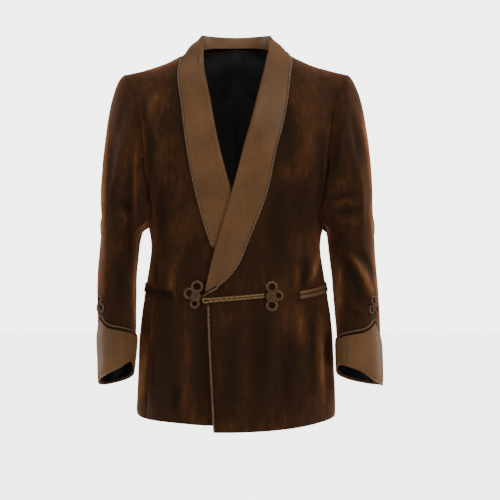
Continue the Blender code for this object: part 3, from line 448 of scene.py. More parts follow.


# %% [markdown]
# The main creases are placed one by one. A crease is a soft trough or ridge along a slightly bent
# line, given as it is seen: from in front, from behind or from the side. It has its own width and
# depth and fades out at both ends. The tables count in steps of 1.97 mm, across and down from the top
# left corner of the picture, as they were read off it. The hidden sides carry similar creases.

# %% Tables of creases
# Columns: start across, start down, end across, end down, bend, width, depth in millimetres.
FRONT_CREASES = [
    (334, 118, 322, 236, -4, 4.5, 4.5),
    (325, 128, 312, 232, -4, 7, -3.9),
    (340, 92, 333, 132, -1.5, 5, -2.4),
    (309, 286, 317, 250, 1.5, 3.2, 3.9),
    (301, 291, 306, 258, 1, 4, -3.3),
    (297, 293, 296, 262, 0.5, 3.4, 2.4),
    (322, 287, 319, 256, 1, 4, -2.8),
    (299, 300, 303, 352, 1, 6, 2.8),
    (311, 304, 313, 396, -1.5, 5, -3.3),
    (319, 312, 322, 404, 1.5, 5.5, 3.5),
    (328, 330, 326, 366, 1, 3.4, -3.1),
    (292, 330, 288, 416, 1, 9, -2.8),
    (274, 318, 270, 420, -1, 6, 1.4),
    (306.7, 187.5, 306.7, 197.5, 0, 1.7, -2),
    (299, 176, 303, 236, 1, 8, -2.1),
    (290, 100, 284, 170, 2, 9, -2.1),
    (314, 104, 308, 176, -2, 7, 1.3),
    (142, 120, 146, 226, 2, 4.2, 3.9),
    (149, 128, 158, 236, 2, 6.5, -3.3),
    (131.5, 98, 134, 128, 0.5, 2.6, -1.8),
    (137.5, 96, 140, 126, 0.5, 2.6, 1.8),
    (144, 98, 146, 124, 0.5, 2.8, -1.8),
    (160, 92, 147, 122, 1.5, 5, 2.1),
    (141, 190, 169, 140, -2, 6, 1.6),
    (155, 166, 153, 256, 0.8, 5, 2.6),
    (163, 180, 161, 262, -0.8, 5.5, -2.4),
    (157.5, 262, 157, 288, 0.3, 2.4, -2.3),
    (151, 264, 150, 290, 0.3, 3, 2.1),
    (171.5, 262, 172, 300, 0.5, 4, 2.1),
    (165, 296, 163, 352, -1, 6, -2.3),
    (147, 330, 143, 404, -1, 4, 3.3),
    (154, 338, 153, 410, 1, 5, -3.1),
    (178, 384, 172, 412, -1, 4.5, -3.1),
    (188, 330, 184, 418, 1.5, 6, 1.2),
    (232, 320, 228, 424, 1.5, 12, -2.4),
    (247, 330, 250, 426, 0.8, 7, 0.8),
    # The rows from here on are wide, shallow swells and hollows, and two thin ridges beside the
    # armholes. They change the shape only a little. Mostly they paint broad zones of light and shade,
    # and a pale line beside each armhole, into the velvet through the map "lay".
    (158, 64, 164, 112, 1, 11, 1),
    (310, 70, 316, 116, 1, 12, 1),
    (284, 176, 276, 284, 1, 11, -2.4),
    (262, 300, 266, 424, -1, 15, -2.4),
    (196, 232, 186, 290, 1, 8, -2.2),
    (200, 306, 201, 420, 0.5, 6, -2),
    (327, 126, 324.5, 212, 0.5, 1.8, 2.2),
    (141, 112, 145.5, 200, 0.5, 1.8, 1.8),
]
BACK_CREASES = [
    (150, 96, 168, 190, -5, 6, 2.8),
    (160, 104, 178, 196, -4, 7, -2.6),
    (322, 94, 303, 196, 5, 6, 3),
    (311, 106, 292, 188, 4, 7, -2.4),
    (190, 66, 232, 92, 4, 6, -2.3),
    (282, 66, 240, 90, -4, 6, -2.6),
    (236, 214, 236, 300, 0, 9, -2.2),
    (176, 226, 226, 236, 3, 5, 1.7),
    (182, 240, 222, 252, 3, 5, -2.4),
    (296, 224, 250, 238, -3, 5, 1.9),
    (292, 238, 254, 250, -2, 5, -2.3),
    (206, 296, 200, 412, 2, 8, 3),
    (191, 306, 184, 410, 2, 8, -2.8),
    (268, 292, 275, 414, -2, 8, 3.2),
    (284, 302, 292, 412, -2, 8, -2.8),
    (166, 320, 158, 406, 1, 7, 3),
    (308, 316, 318, 404, -1, 7, 2.6),
]
# Columns: from the front to the back instead of across, 100 at the middle of the side.
SIDE_CREASES = [
    (92, 150, 84, 252, 3, 6, 2.6),
    (112, 156, 118, 250, -3, 6, -2.6),
    (88, 300, 78, 404, 2, 7, 3.5),
    (104, 296, 102, 408, 1, 8, -3.9),
    (122, 302, 130, 406, -2, 7, 3.1),
]
SLEEVE_FRONT_CREASES = [
    (110.5, 112, 105, 262, 2.5, 3, 4.4),
    (117, 126, 111, 240, 3, 4, -2.4),
    (136.5, 138, 134, 250, 1, 2.4, 3.1),
    (132, 150, 129.5, 320, 1, 3.4, -2.6),
    (134.5, 236, 133.5, 328, 0.5, 2.4, 3.5),
    (118, 200, 130, 214, -2, 3.6, -2.6),
    (116, 210, 130, 226, -2, 3.4, 2.1),
    (107, 252, 104, 306, 1, 3, 2.4),
    (121, 250, 119, 316, -1, 5, -2.1),
    (126, 96, 120, 136, 1, 4, -1.9),
    (333, 201, 358, 195, -2.5, 2.8, -2.6),
    (334, 207, 354, 201, -2.5, 2.6, 1.7),
    (338, 214, 364, 211, -2.5, 2.8, -2.4),
    (340, 222, 360, 224, -2, 3.2, 1.4),
    (336, 186, 348, 182, -1.5, 3, 2.1),
    (348, 250, 372, 300, -3, 3.4, 4.8),
    (341, 256, 362, 306, -3, 4.4, -3.7),
    (356, 248, 376, 286, -3, 3.4, -2.6),
    (340.5, 258, 342, 324, -0.5, 3.2, 2.6),
    (357, 106, 368, 190, -3, 3, 2.6),
    (350, 112, 358, 172, -2, 4, -2.4),
    (369, 200, 372, 262, -1, 2.8, 2.6),
    (338, 128, 333, 180, -1, 3.6, -3.1),
    (345, 306, 366, 318, 2, 3.2, -2.1),
]
SLEEVE_BACK_CREASES = [
    (110, 120, 108, 230, 2, 5, 2.8),
    (124, 130, 120, 236, -2, 5, -2.8),
    (104, 196, 128, 214, 4, 3.6, -2.8),
    (104, 208, 126, 228, 4, 3.6, 2.1),
    (103, 222, 122, 246, 3, 3.6, -2.8),
    (114, 252, 110, 320, -1, 5, 2.6),
    (362, 118, 366, 226, -2, 5, 3),
    (350, 128, 354, 232, 2, 5, -2.6),
    (370, 192, 346, 210, -4, 3.6, -2.9),
    (371, 205, 348, 226, -4, 3.6, 2.3),
    (371, 220, 352, 244, -3, 3.6, -2.8),
    (362, 250, 368, 318, 1, 5, -2.6),
]
SLEEVE_SIDE_CREASES = [
    (84, 116, 76, 236, 3, 5, 2.6),
    (112, 120, 106, 210, -3, 5, -2.6),
    (96, 208, 76, 224, 3, 4, -3),
    (98, 220, 78, 238, 3, 4, 2.4),
    (70, 250, 66, 318, 1, 5, 2.4),
]

# %% [markdown]
# Every piece is pushed along its own outward direction by the sum of these creases. At each seam the
# cloth also dips in a little and puckers, as pressed and stitched velvet does, and all over it is
# slightly uneven. The same place always gets the same push, so neighbours still meet at their seams.
# The sleeves have creases of their own, so those of both sides run out towards the armhole.

# %% Press the creases into a sheet
SIDE_MIDDLE = 100.0
TOP_DOWN = 50.0
SEAM_DIP = 0.0009
SEAM_MEET = 0.0004
ARMHOLE_MEET = 0.0018
ARMHOLE_INNER = 0.140
ARMHOLE_OUTER = 0.216
SEAM_REACH = 0.0042
PUCKER = 0.00045
PUCKERS_PER_METRE = 85.0
PUCKER_REACH = 0.012
ARMHOLE_LOW = -0.260
ARMHOLE_HIGH = -0.215
ARMHOLE_REACH = 0.022
FOLD_SHADE_DEPTH = 0.0080
LINE_POINTS = 11
CREASE_FADE = 0.7
NEAR_WIDTHS = 3.0
# Height and waves per metre of the two unevennesses.
WAVES = ((0.0008, 15.0), (0.00035, 42.0))


def eased(low, high, values):
    """Share of the way from low to high for each value, eased at both ends."""
    share = np.clip((values - low) / (high - low), 0.0, 1.0)
    return share * share * (3.0 - 2.0 * share)


def seen_from_front(points):
    """Where each point shows in the picture, in pixels."""
    far = 1.0 + points[:, 1] / EYE_BACK
    return np.stack([MIDDLE_ACROSS + points[:, 0] / far / PIXEL,
                     MIDDLE_DOWN - (points[:, 2] - EYE_HEIGHT) / far / PIXEL], axis=1)


def crease_relief(spots, creases):
    """How far a table of creases pushes the cloth at each spot of one view."""
    total = np.zeros(len(spots))
    for from_x, from_y, to_x, to_y, bend, width, depth in creases:
        start = np.array((from_x, from_y))
        along = np.array((to_x, to_y)) - start
        turned = np.array((-along[1], along[0])) / np.linalg.norm(along)
        shares = np.linspace(0.0, 1.0, LINE_POINTS)
        bulge = (4.0 * bend * shares * (1.0 - shares))[:, None] * turned
        line = start + shares[:, None] * along + bulge
        low = line.min(axis=0) - NEAR_WIDTHS * width
        high = line.max(axis=0) + NEAR_WIDTHS * width
        near = np.where(((spots > low) & (spots < high)).all(axis=1))[0]
        if len(near) == 0:
            continue
        gap = np.full(len(near), 1e9)
        place = np.zeros(len(near))
        for index in range(len(line) - 1):
            step = line[index + 1] - line[index]
            offset = spots[near] - line[index]
            part = np.clip(offset @ step / (step @ step), 0.0, 1.0)
            distance = np.linalg.norm(offset - part[:, None] * step, axis=1)
            closer = distance < gap
            gap[closer] = distance[closer]
            place[closer] = (index + part[closer]) / (len(line) - 1)
        fade = np.sin(np.pi * place) ** CREASE_FADE
        total[near] += 0.001 * depth * fade * np.exp(-(gap / width) ** 2)
    return total


def creases_at(name, points, normals):
    """Push of all hand-placed creases at each point of one piece."""
    sleeve = "sleeve" in name or "cuff" in name
    front = SLEEVE_FRONT_CREASES if sleeve else FRONT_CREASES
    back = SLEEVE_BACK_CREASES if sleeve else BACK_CREASES
    side = SLEEVE_SIDE_CREASES if sleeve else SIDE_CREASES
    down = TOP_DOWN - points[:, 2] / PIXEL
    behind = np.stack([MIDDLE_ACROSS + points[:, 0] / PIXEL, down], axis=1)
    beside = np.stack([SIDE_MIDDLE + points[:, 1] / PIXEL, down], axis=1)
    push = crease_relief(seen_from_front(points), front) * eased(0.0, 0.4, -normals[:, 1])
    push += crease_relief(behind, back) * eased(0.0, 0.4, normals[:, 1])
    push += crease_relief(beside, side) * eased(0.55, 0.9, np.abs(normals[:, 0]))
    return push


def unevenness(points):
    """Soft waves of hung cloth, about 70 mm and 25 mm long."""
    return np.array([sum(height * noise.noise(Vector(p) * often) for height, often in WAVES)
                     for p in points])


def edge_gap(mesh, points):
    """Distance of each point to the nearest edge of its sheet."""
    shape = bmesh.new()
    shape.from_mesh(mesh)
    rim = [v.co.copy() for v in shape.verts if v.is_boundary]
    shape.free()
    tree = KDTree(len(rim))
    for index, place in enumerate(rim):
        tree.insert(place, index)
    tree.balance()
    return np.array([tree.find(Vector(p))[2] for p in points])


def let_out(mesh):
    """Lets a sheet out a little at its edges, so that neighbours meet at their seams."""
    shape = bmesh.new()
    shape.from_mesh(mesh)
    steps = {}
    for vertex in shape.verts:
        if vertex.is_boundary:
            inner = [e.other_vert(vertex).co for e in vertex.link_edges if not e.is_boundary]
            if inner:
                steps[vertex] = (vertex.co - sum(inner, Vector()) / len(inner)).normalized()
    for vertex, step in steps.items():
        across, _, up = vertex.co
        at_armhole = up > ARMHOLE_LOW and ARMHOLE_INNER < abs(across) < ARMHOLE_OUTER
        vertex.co += step * (ARMHOLE_MEET if at_armhole else SEAM_MEET)
    shape.to_mesh(mesh)
    shape.free()


def press(name, mesh):
    """Moves a sheet's points by its creases, seams and unevenness, and returns the moves."""
    let_out(mesh)
    points = coordinates(mesh)
    flat = np.empty(len(points) * 3)
    mesh.vertex_normals.foreach_get("vector", flat)
    normals = flat.reshape(-1, 3)
    gap = edge_gap(mesh, points)
    pucker = np.array([noise.noise(Vector(p) * PUCKERS_PER_METRE) for p in points])
    folds = creases_at(name, points, normals)
    # The map "lay" paints the velvet lighter where the creases push out and darker where they push in:
    # a painted highlight on each ridge and painted shade in each trough.
    lay = mesh.attributes.new("lay", "FLOAT", "POINT")
    lay.data.foreach_set("value", np.clip(0.5 + folds / FOLD_SHADE_DEPTH, 0.0, 1.0))
    armhole = eased(ARMHOLE_LOW, ARMHOLE_HIGH, points[:, 2]) * np.exp(-(gap / ARMHOLE_REACH) ** 2)
    push = folds * (1.0 - armhole) + unevenness(points)
    push -= SEAM_DIP * np.exp(-(gap / SEAM_REACH) ** 2)
    push += PUCKER * pucker * np.exp(-(gap / PUCKER_REACH) ** 2)
    moves = normals * push[:, None]
    mesh.vertices.foreach_set("co", (points + moves).ravel())
    mesh.update()
    return points, moves


# %% [markdown]
# The velvet pieces come first. Each sheet gets a wall of 1.7 mm towards the wearer, which is the
# velvet with its interlining, and the wall's inner face is the black lining.

# %% Velvet pieces
CLOTH_WALL = 0.0017
VELVET_PIECES = [side + "_" + part for side in ("left", "right")
                 for part in ("front", "side", "back", "top_sleeve", "under_sleeve")]
dressed = {}
cloth_moves = {"body": ([], []), "left_arm": ([], []), "right_arm": ([], [])}
cloth_faces = {"body": [], "left_arm": [], "right_arm": []}


def group_of(name):
    """The part of the garment that a piece moves and lies with."""
    if "sleeve" in name or "cuff" in name:
        return name.split("_")[0] + "_arm"
    return "body"


def place_piece(name, mesh, *finishes):
    """Puts a mesh into the scene as a piece of the jacket with its finishes."""
    mesh.name = name
    piece = bpy.data.objects.new(name, mesh)
    bpy.context.scene.collection.objects.link(piece)
    for finish in finishes:
        mesh.materials.append(finish)
    bpy.ops.object.select_all(action="DESELECT")
    piece.select_set(True)
    bpy.context.view_layer.objects.active = piece
    return piece


def sheet_area(mesh):
    """Area of all faces of a mesh in square metres."""
    return sum(face.area for face in mesh.polygons)


for name in VELVET_PIECES:
    mesh = smoothed(*outer_face(name), VELVET_LEVELS)
    before, moves = press(name, mesh)
    group = group_of(name)
    cloth_moves[group][0].append(before)
    cloth_moves[group][1].append(moves)
    cloth_faces[group].append((coordinates(mesh), [tuple(f.vertices) for f in mesh.polygons]))
    area = sheet_area(mesh)
    piece = place_piece(name + "_velvet", mesh, velvet, lining)
    wall = piece.modifiers.new("wall", "SOLIDIFY")
    wall.thickness = CLOTH_WALL
    wall.offset = -1.0
    wall.material_offset = 1
    bpy.ops.object.modifier_apply(modifier="wall")
    bpy.ops.object.shade_smooth_by_angle(angle=SHARP)
    dressed[name] = piece
    print(name, "area", round(area, 4), "faces", len(piece.data.polygons))

# %% [markdown]
# What lies on the velvet has to follow its creases. Each point of a collar, a pocket jet or a cord
# takes the move of the velvet nearest to it.

# %% Follow the cloth
NEIGHBOURS = 4
SOFTENING = 0.0005
followed = {}
skins = {}
for group, (before, moves) in cloth_moves.items():
    places = np.concatenate(before)
    tree = KDTree(len(places))
    for index, place in enumerate(places):
        tree.insert(Vector(place), index)
    tree.balance()
    followed[group] = (tree, np.concatenate(moves))
    points = []
    faces = []
    for places, polygons in cloth_faces[group]:
        base = len(points)
        points += [Vector(p) for p in places]
        faces += [tuple(base + index for index in polygon) for polygon in polygons]
    skins[group] = BVHTree.FromPolygons(points, faces)


def follow(points, group):
    """The points, each moved as the velvet under it was moved."""
    tree, moves = followed[group]
    moved = np.array(points)
    for index, point in enumerate(moved):
        near = tree.find_n(Vector(point), NEIGHBOURS)
        weights = np.array([1.0 / (found[2] + SOFTENING) for found in near])
        moved[index] = point + (weights @ moves[[found[1] for found in near]]) / weights.sum()
    return moved


# %% [markdown]
# The collar, the cuffs and the pocket jets keep their closed walls, because both of their sides show
# where they fold. Their sharp edges are creased before subdivision, so that they stay crisp.
#
# The left half of the collar runs out to a point, and the two halves meet at the centre back. The jets
# of the left pocket are satin. Those of the right pocket lie in shade and hardly show, so they are
# given the velvet, a darker finish that paints that shade.

# %% Satin pieces
SATIN_PIECES = {"collar": 2, "cuff": 3, "pocket_upper_jet": 2, "pocket_lower_jet": 2}
CENTRE_BACK = 0.0012
TIP_ROW = 284.5
TIP_END = 289.6
TIP_ACROSS = 205.6
TIP_DROP = 2.9
TIP_NARROWS = 0.9
TIP_NARROWEST = 0.92
PAST_TIP = 1.2


def taper_tip(points):
    """Runs the end of the left half of the collar out to a point, as seen from in front."""
    seen = seen_from_front(points)
    share = np.clip((seen[:, 1] - TIP_ROW) / (TIP_END - TIP_ROW), 0.0, PAST_TIP) ** 2
    far = (1.0 + points[:, 1] / EYE_BACK) * PIXEL
    narrowed = np.minimum(TIP_NARROWS * share, TIP_NARROWEST)
    points[:, 0] -= (seen[:, 0] - TIP_ACROSS) * narrowed * far
    points[:, 2] -= TIP_DROP * share * far


for side in ("left", "right"):
    for part, levels in SATIN_PIECES.items():
        name = side + "_" + part
        mesh = smoothed(*sheet_of(merged(name)), levels, creased=True)
        moved = follow(coordinates(mesh), group_of(name))
        if part == "collar":
            moved[np.abs(moved[:, 0]) < CENTRE_BACK, 0] = 0.0
        if name == "left_collar":
            taper_tip(moved)
        mesh.vertices.foreach_set("co", moved.ravel())
        mesh.update()
        area = sheet_area(mesh) / 2.0
        # The right pocket's jets take the velvet: a darker finish as painted shade.
        finish = velvet if name.startswith("right_pocket") else satin
        piece = place_piece(name + "_" + finish.name.split("_")[-1], mesh, finish)
        bpy.ops.object.shade_smooth_by_angle(angle=SHARP)
        dressed[name] = piece
        print(name, "area", round(area, 4), "faces", len(mesh.polygons))

# %% [markdown]
# A twisted cord is two strands wound round each other. Each strand is swept round the cord's line,
# and its map runs along and around it for the slanted threads. The line is read from the middles of
# the rings of the cord in the frame.


# %% The line of a cord
CAP_AREA = 0.00003
RING_SIZE = 8
CURVE_STEPS = 12
FEWEST_STEPS = 4


def ring_middles(name):
    """Middles of the rings of an open round cord, from one end to the other."""
    shape = merged(name)
    caps = [group for group in patches(shape) if sum(f.calc_area() for f in group) < CAP_AREA]
    ring = {vertex for face in caps[0] for vertex in face.verts}
    passed = set()
    line = []
    while ring:
        line.append(np.mean([v.co for v in sorted(ring, key=lambda v: v.index)], axis=0))
        passed |= ring
        ring = {edge.other_vert(v) for v in ring for edge in v.link_edges} - passed
    shape.free()
    return np.array(line)


def round_arm(name):
    """Middles of the rings of a closed cord that runs round an arm."""
    shape = merged(name)
    places = np.array([v.co for v in shape.verts])
    shape.free()
    middle = places.mean(axis=0)
    turn = np.arctan2(places[:, 0] - middle[0], places[:, 1] - middle[1])
    order = np.argsort(turn)
    widest = int(np.argmax(np.diff(turn[order])))
    order = np.roll(order, -(widest + 1))
    return places[order].reshape(-1, RING_SIZE, 3).mean(axis=1)


def smooth_line(points, step, closed=False):
    """A rounded line through the points, with even steps."""
    points = np.asarray(points, float)
    if closed:
        ringed = np.concatenate([points[-1:], points, points[:2]])
    else:
        before = 2.0 * points[:1] - points[1:2]
        after = 2.0 * points[-1:] - points[-2:-1]
        ringed = np.concatenate([before, points, after])
    dense = []
    for a, b, c, d in zip(ringed[:-3], ringed[1:-2], ringed[2:-1], ringed[3:]):
        for t in np.linspace(0.0, 1.0, CURVE_STEPS, endpoint=False):
            dense.append(0.5 * (2.0 * b + (c - a) * t + (2.0 * a - 5.0 * b + 4.0 * c - d) * t * t
                                + (3.0 * b - a - 3.0 * c + d) * t ** 3))
    dense.append(points[0] if closed else points[-1])
    dense = np.array(dense)
    run = np.concatenate([[0.0], np.cumsum(np.linalg.norm(np.diff(dense, axis=0), axis=1))])
    count = max(int(run[-1] / step), FEWEST_STEPS)
    marks = np.linspace(0.0, run[-1], count + 1)
    even = np.stack([np.interp(marks, run, dense[:, axis]) for axis in range(3)], axis=1)
    return even[:-1] if closed else even


# %% Twist a cord
STRAND_SIDES = 8
STRAND_SHARE = 0.52
END_SHARE = 0.45
NEXT_SHARE = 0.85
THREAD_LAY = 0.0075


def frames_along(line, closed):
    """Two crosswise directions at each point of a line, turning as little as they can."""
    ahead = np.roll(line, -1, axis=0) - np.roll(line, 1, axis=0)
    if not closed:
        ahead[0] = line[1] - line[0]
        ahead[-1] = line[-1] - line[-2]
    ahead /= np.linalg.norm(ahead, axis=1, keepdims=True)
    first = np.cross(ahead[0], (0.0, -1.0, 0.2))
    across = [first / np.linalg.norm(first)]
    for tangent in ahead[1:]:
        kept = across[-1] - tangent * np.dot(across[-1], tangent)
        across.append(kept / np.linalg.norm(kept))
    across = np.array(across)
    if closed:
        last = across[-1] - ahead[0] * np.dot(across[-1], ahead[0])
        last /= np.linalg.norm(last)
        slip = math.atan2(np.dot(np.cross(across[0], last), ahead[0]), np.dot(across[0], last))
        turn = -slip * np.arange(len(line)) / len(line)
        other = np.cross(ahead, across)
        across = across * np.cos(turn)[:, None] + other * np.sin(turn)[:, None]
    return ahead, across, np.cross(ahead, across)


def twisted(line, radius, pitch, closed=False):
    """Points, faces and strand map of a cord twisted round a line."""
    ahead, across, other = frames_along(line, closed)
    steps = np.linalg.norm(np.roll(line, -1, axis=0) - line, axis=1)
    run = np.concatenate([[0.0], np.cumsum(steps)[:-1]])
    whole = steps.sum() if closed else run[-1]
    turns = max(round(whole / pitch), 1) if closed else whole / pitch
    strand_radius = radius * STRAND_SHARE
    points, faces, strand_map = [], [], []
    count = len(line)
    for strand in range(2):
        angle = 2.0 * math.pi * (turns * run / whole + strand / 2.0)
        out = across * np.cos(angle)[:, None] + other * np.sin(angle)[:, None]
        middle = line + out * (radius - strand_radius)
        size = np.full(count, strand_radius)
        if not closed:
            size[[0, -1]] *= END_SHARE
            size[[1, -2]] *= NEXT_SHARE
        side = np.cross(ahead, out)
        base = len(points)
        for index in range(count):
            for corner in range(STRAND_SIDES):
                turn = 2.0 * math.pi * corner / STRAND_SIDES
                spoke = out[index] * math.cos(turn) + side[index] * math.sin(turn)
                points.append(middle[index] + spoke * size[index])
        for index in range(count if closed else count - 1):
            after = (index + 1) % count
            for corner in range(STRAND_SIDES):
                beside = (corner + 1) % STRAND_SIDES
                here = base + index * STRAND_SIDES
                there = base + after * STRAND_SIDES
                faces.append((here + corner, here + beside, there + beside, there + corner))
                u = run[index] / THREAD_LAY
                ahead_u = (run[index] + steps[index]) / THREAD_LAY
                v = SECOND_STRAND * strand + corner / STRAND_SIDES
                beside_v = v + 1.0 / STRAND_SIDES
                strand_map.append(((u, v), (u, beside_v), (ahead_u, beside_v), (ahead_u, v)))
        if not closed:
            first = tuple(base + corner for corner in reversed(range(STRAND_SIDES)))
            last = tuple(base + (count - 1) * STRAND_SIDES + corner for corner in range(STRAND_SIDES))
            for cap in (first, last):
                faces.append(cap)
                strand_map.append(((0.0, SECOND_STRAND * strand),) * STRAND_SIDES)
    return points, faces, strand_map


def cord_piece(name, parts, finish=braid):
    """Joins twisted parts into one piece of trimming."""
    points, faces, strand_map = [], [], []
    for part_points, part_faces, part_map in parts:
        base = len(points)
        points += [tuple(p) for p in part_points]
        faces += [tuple(base + index for index in face) for face in part_faces]
        strand_map += part_map
    mesh = bpy.data.meshes.new(name)
    mesh.from_pydata(points, [], faces)
    layer = mesh.uv_layers.new(name="strand")
    layer.data.foreach_set("uv", np.array([pair for face in strand_map for pair in face]).ravel())
    piece = place_piece(name, mesh, finish)
    bpy.ops.object.shade_smooth()
    return piece


# %% Edging cords
CORD = 0.0023
CORD_PITCH = 0.0105
THIN_CORD = 0.0016
THIN_PITCH = 0.0085
CORD_STEP = 0.0012
SNUG_ROUNDS = 6
SNUG_REACH = 2.2

# The left collar's cord goes on round the tip and under the frog: across and down as seen.
TIP_TURN = [(216.0, 288.5), (210.5, 291.6), (206.0, 294.6), (202.5, 296.5)]
EYE = Vector((0.0, -EYE_BACK, EYE_HEIGHT))


def on_velvet(across, up, off):
    """A point a set distance off the body's velvet, where the eye sees the given place."""
    aim = (Vector((across, 0.0, up)) - EYE).normalized()
    place, out, _, _ = skins["body"].ray_cast(EYE, aim)
    return np.array(place + out * off)


def snug(line, piece):
    """Lays a cord's line against the edge of a piece and down onto the velvet."""
    edge = BVHTree.FromPolygons([v.co for v in piece.data.vertices],
                                [tuple(f.vertices) for f in piece.data.polygons])
    laid = []
    for point in line:
        spot = Vector(point)
        for _ in range(SNUG_ROUNDS):
            near = edge.find_nearest(spot)[0]
            spot = near + (spot - near).normalized() * CORD
            near, out, _, gap = skins["body"].find_nearest(spot)
            if gap < CORD * SNUG_REACH:
                spot = near + out * CORD
        laid.append(spot)
    laid = np.array(laid)
    laid[1:-1] = 0.25 * laid[:-2] + 0.5 * laid[1:-1] + 0.25 * laid[2:]
    return laid


for name in ("left_collar_cord", "right_collar_cord", "front_edge_cord", "frog_bridge"):
    points = follow(ring_middles(name), "body")
    if "collar" in name:
        points = snug(points, dressed[name.replace("_cord", "")])
        back = 0 if abs(points[0, 0]) < abs(points[-1, 0]) else -1
        points[back, 0] = 0.0
    if name == "left_collar_cord":
        points = points if back == 0 else points[::-1]
        points = points[seen_from_front(points)[:, 1] < TIP_TURN[0][1] - 2.0]
        turn = [on_velvet((across - MIDDLE_ACROSS) * PIXEL,
                          EYE_HEIGHT - (down - MIDDLE_DOWN) * PIXEL, CORD)
                for across, down in TIP_TURN]
        points = np.concatenate([points, turn])
    line = smooth_line(points, CORD_STEP)
    dressed[name] = cord_piece(name + "_silk", [twisted(line, CORD, CORD_PITCH)],
                               gilt if name == "frog_bridge" else braid)
    steps = np.linalg.norm(np.diff(line, axis=0), axis=1)
    print(name, "length", round(float(steps.sum()), 3))

for side in ("left", "right"):
    name = side + "_cuff_cord"
    line = smooth_line(follow(round_arm(name), side + "_arm"), CORD_STEP, closed=True)
    dressed[name] = cord_piece(name + "_silk", [twisted(line, THIN_CORD, THIN_PITCH, closed=True)])
    steps = np.linalg.norm(line - np.roll(line, 1, axis=0), axis=1)
    print(name, "length", round(float(steps.sum()), 3))

# %% [markdown]
# A frog is cord coiled into a domed button with three loops round it. The coil starts at the top of
# the dome and winds outwards, and the loops come from under it. Each point is drawn flat, then laid
# on the velvet: the closure's frogs along the line of sight, the small ones round the arm.

# %% Loops and coiled buttons
# Columns: middle of the loop across and up from the button, radius, in metres.
RIGHT_LOOPS = [(0.0017, 0.0195, 0.0096), (-0.0135, 0.0060, 0.0088), (-0.0025, -0.0135, 0.0076)]
LEFT_LOOPS = [(0.0025, 0.0193, 0.0092), (0.0150, 0.0025, 0.0078), (0.0025, -0.0165, 0.0092)]
CUFF_LOOPS = [(0.0000, 0.0110, 0.0064), (-0.0095, -0.0050, 0.0064), (0.0095, -0.0050, 0.0064)]
BUTTONS = {"right": (-0.0776, -0.4858), "left": (0.0676, -0.4866)}
# Radius of the loops' cord, its pitch, radius of the button, radius of the button's cord.
FROG_CORDS = (0.0030, 0.0062, 0.0098, 0.0019)
CUFF_FROG_CORDS = (0.0019, 0.0050, 0.0056, 0.0012)
LOOP_STEP = 0.00072
FEWEST_LOOP_STEPS = 24
COIL_START = 0.0006
COIL_SPACING = 1.9
COIL_STEPS = 30
COIL_CORD_STEP = 0.00084
BUTTON_PITCH = 0.7
BUTTON_RISE = 0.24
ON_LOOPS = 0.8
RIM_TURNS = 1.5
RIM_STEPS = 36
RIM_SINKS = 0.6
OFF_VELVET = 0.0004
CUFF_FROG_DROP = 0.0030
ABOVE_SLEEVE = 0.02


def frog_parts(loops, radius, pitch, coil_radius, coil_cord, lay):
    """Twisted parts of a frog: its loops and its coiled button."""
    parts = []
    for across, up, reach in loops:
        count = max(int(2.0 * math.pi * reach / LOOP_STEP), FEWEST_LOOP_STEPS)
        ring = []
        for index in range(count):
            turn = 2.0 * math.pi * index / count
            ring.append(lay(across + reach * math.cos(turn), up + reach * math.sin(turn), radius))
        parts.append(twisted(np.array(ring), radius, pitch, closed=True))
    coil = []
    edge = coil_radius - coil_cord
    rounds = edge / (coil_cord * COIL_SPACING)
    on_loops = radius * 2.0 + coil_cord * ON_LOOPS
    for share in np.linspace(0.0, 1.0, int(rounds * COIL_STEPS)):
        reach = COIL_START + (edge - COIL_START) * share
        turn = 2.0 * math.pi * rounds * share
        height = on_loops + coil_radius * BUTTON_RISE * (1.0 - share * share)
        coil.append(lay(reach * math.cos(turn), reach * math.sin(turn), height))
    last = 2.0 * math.pi * rounds
    for share in np.linspace(0.05, 1.0, RIM_STEPS):
        turn = last + 2.0 * math.pi * RIM_TURNS * share
        height = on_loops * (1.0 - RIM_SINKS * share)
        coil.append(lay(edge * math.cos(turn), edge * math.sin(turn), height))
    coil = smooth_line(np.array(coil), COIL_CORD_STEP)
    parts.append(twisted(coil, coil_cord, pitch * BUTTON_PITCH))
    return parts


for side, loops in (("right", RIGHT_LOOPS), ("left", LEFT_LOOPS)):
    middle = BUTTONS[side]

    def lay(across, up, off, middle=middle):
        return on_velvet(middle[0] + across, middle[1] + up, off + OFF_VELVET)

    name = side + "_frog"
    dressed[name] = cord_piece(name + "_silk", frog_parts(loops, *FROG_CORDS, lay))

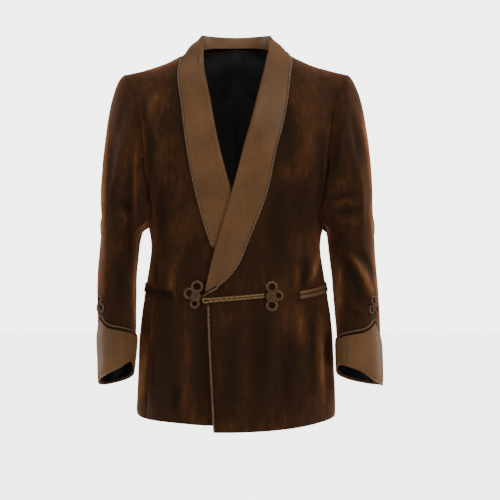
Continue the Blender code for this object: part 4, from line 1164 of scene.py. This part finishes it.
for side in ("left", "right"):
    low, high = (Vector(corner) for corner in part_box(side + "_cuff_frog"))
    middle = (low + high) / 2.0
    place, out, _, _ = skins[side + "_arm"].find_nearest(middle)
    rise = (Vector((0.0, 0.0, 1.0)) - out * out.z).normalized()
    level = rise.cross(out).normalized()

    def lay(across, up, off, place=place, out=out, rise=rise, level=level, side=side):
        spot = place + level * across + rise * (up - CUFF_FROG_DROP) + out * ABOVE_SLEEVE
        near, normal, _, _ = skins[side + "_arm"].find_nearest(spot)
        return np.array(near + normal * (off + OFF_VELVET))

    name = side + "_cuff_frog"
    dressed[name] = cord_piece(name + "_silk", frog_parts(CUFF_LOOPS, *CUFF_FROG_CORDS, lay))
print("pieces dressed:", len(dressed))

# %% [markdown]
# Last, each piece is tied to the frame: it moves with the one body that the jacket is, and it stands
# in for its own node, which is hidden. The table below gives what each piece of cloth was cut to, as
# estimated from the span of each finished piece laid flat.

# %% Tie each piece to the frame
for name, piece in dressed.items():
    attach(piece, "root")
    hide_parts(name)

# Columns: widest width and length in metres, area in square metres, how the cloth is held, and what
# carries it. The wearer's shoulders carry the backs, and the other pieces hang from their seams.
CUTS = {
    "left_front": (0.285, 0.750, 0.150, "hung", ["left_back"]),
    "right_front": (0.280, 0.740, 0.141, "hung", ["right_back"]),
    "left_side": (0.150, 0.520, 0.068, "hung", ["left_front", "left_back"]),
    "right_side": (0.150, 0.515, 0.068, "hung", ["right_front", "right_back"]),
    "left_back": (0.240, 0.745, 0.138, "hung", []),
    "right_back": (0.240, 0.745, 0.138, "hung", []),
    "left_top_sleeve": (0.280, 0.640, 0.149, "hung", ["left_front", "left_back"]),
    "right_top_sleeve": (0.280, 0.640, 0.146, "hung", ["right_front", "right_back"]),
    "left_under_sleeve": (0.140, 0.450, 0.049, "hung", ["left_top_sleeve"]),
    "right_under_sleeve": (0.145, 0.450, 0.051, "hung", ["right_top_sleeve"]),
    "left_collar": (0.075, 0.780, 0.041, "folded", ["left_front", "left_back"]),
    "right_collar": (0.075, 0.700, 0.037, "folded", ["right_front", "right_back"]),
    "left_cuff": (0.290, 0.115, 0.022, "folded", ["left_top_sleeve", "left_under_sleeve"]),
    "right_cuff": (0.290, 0.115, 0.023, "folded", ["right_top_sleeve", "right_under_sleeve"]),
}
for side in ("left", "right"):
    for jet in ("upper_jet", "lower_jet"):
        CUTS[side + "_pocket_" + jet] = (0.0105, 0.130, None, "laid", [side + "_front"])
for name, (width, length, area, held, carriers) in CUTS.items():
    [dressed[carrier] for carrier in carriers]
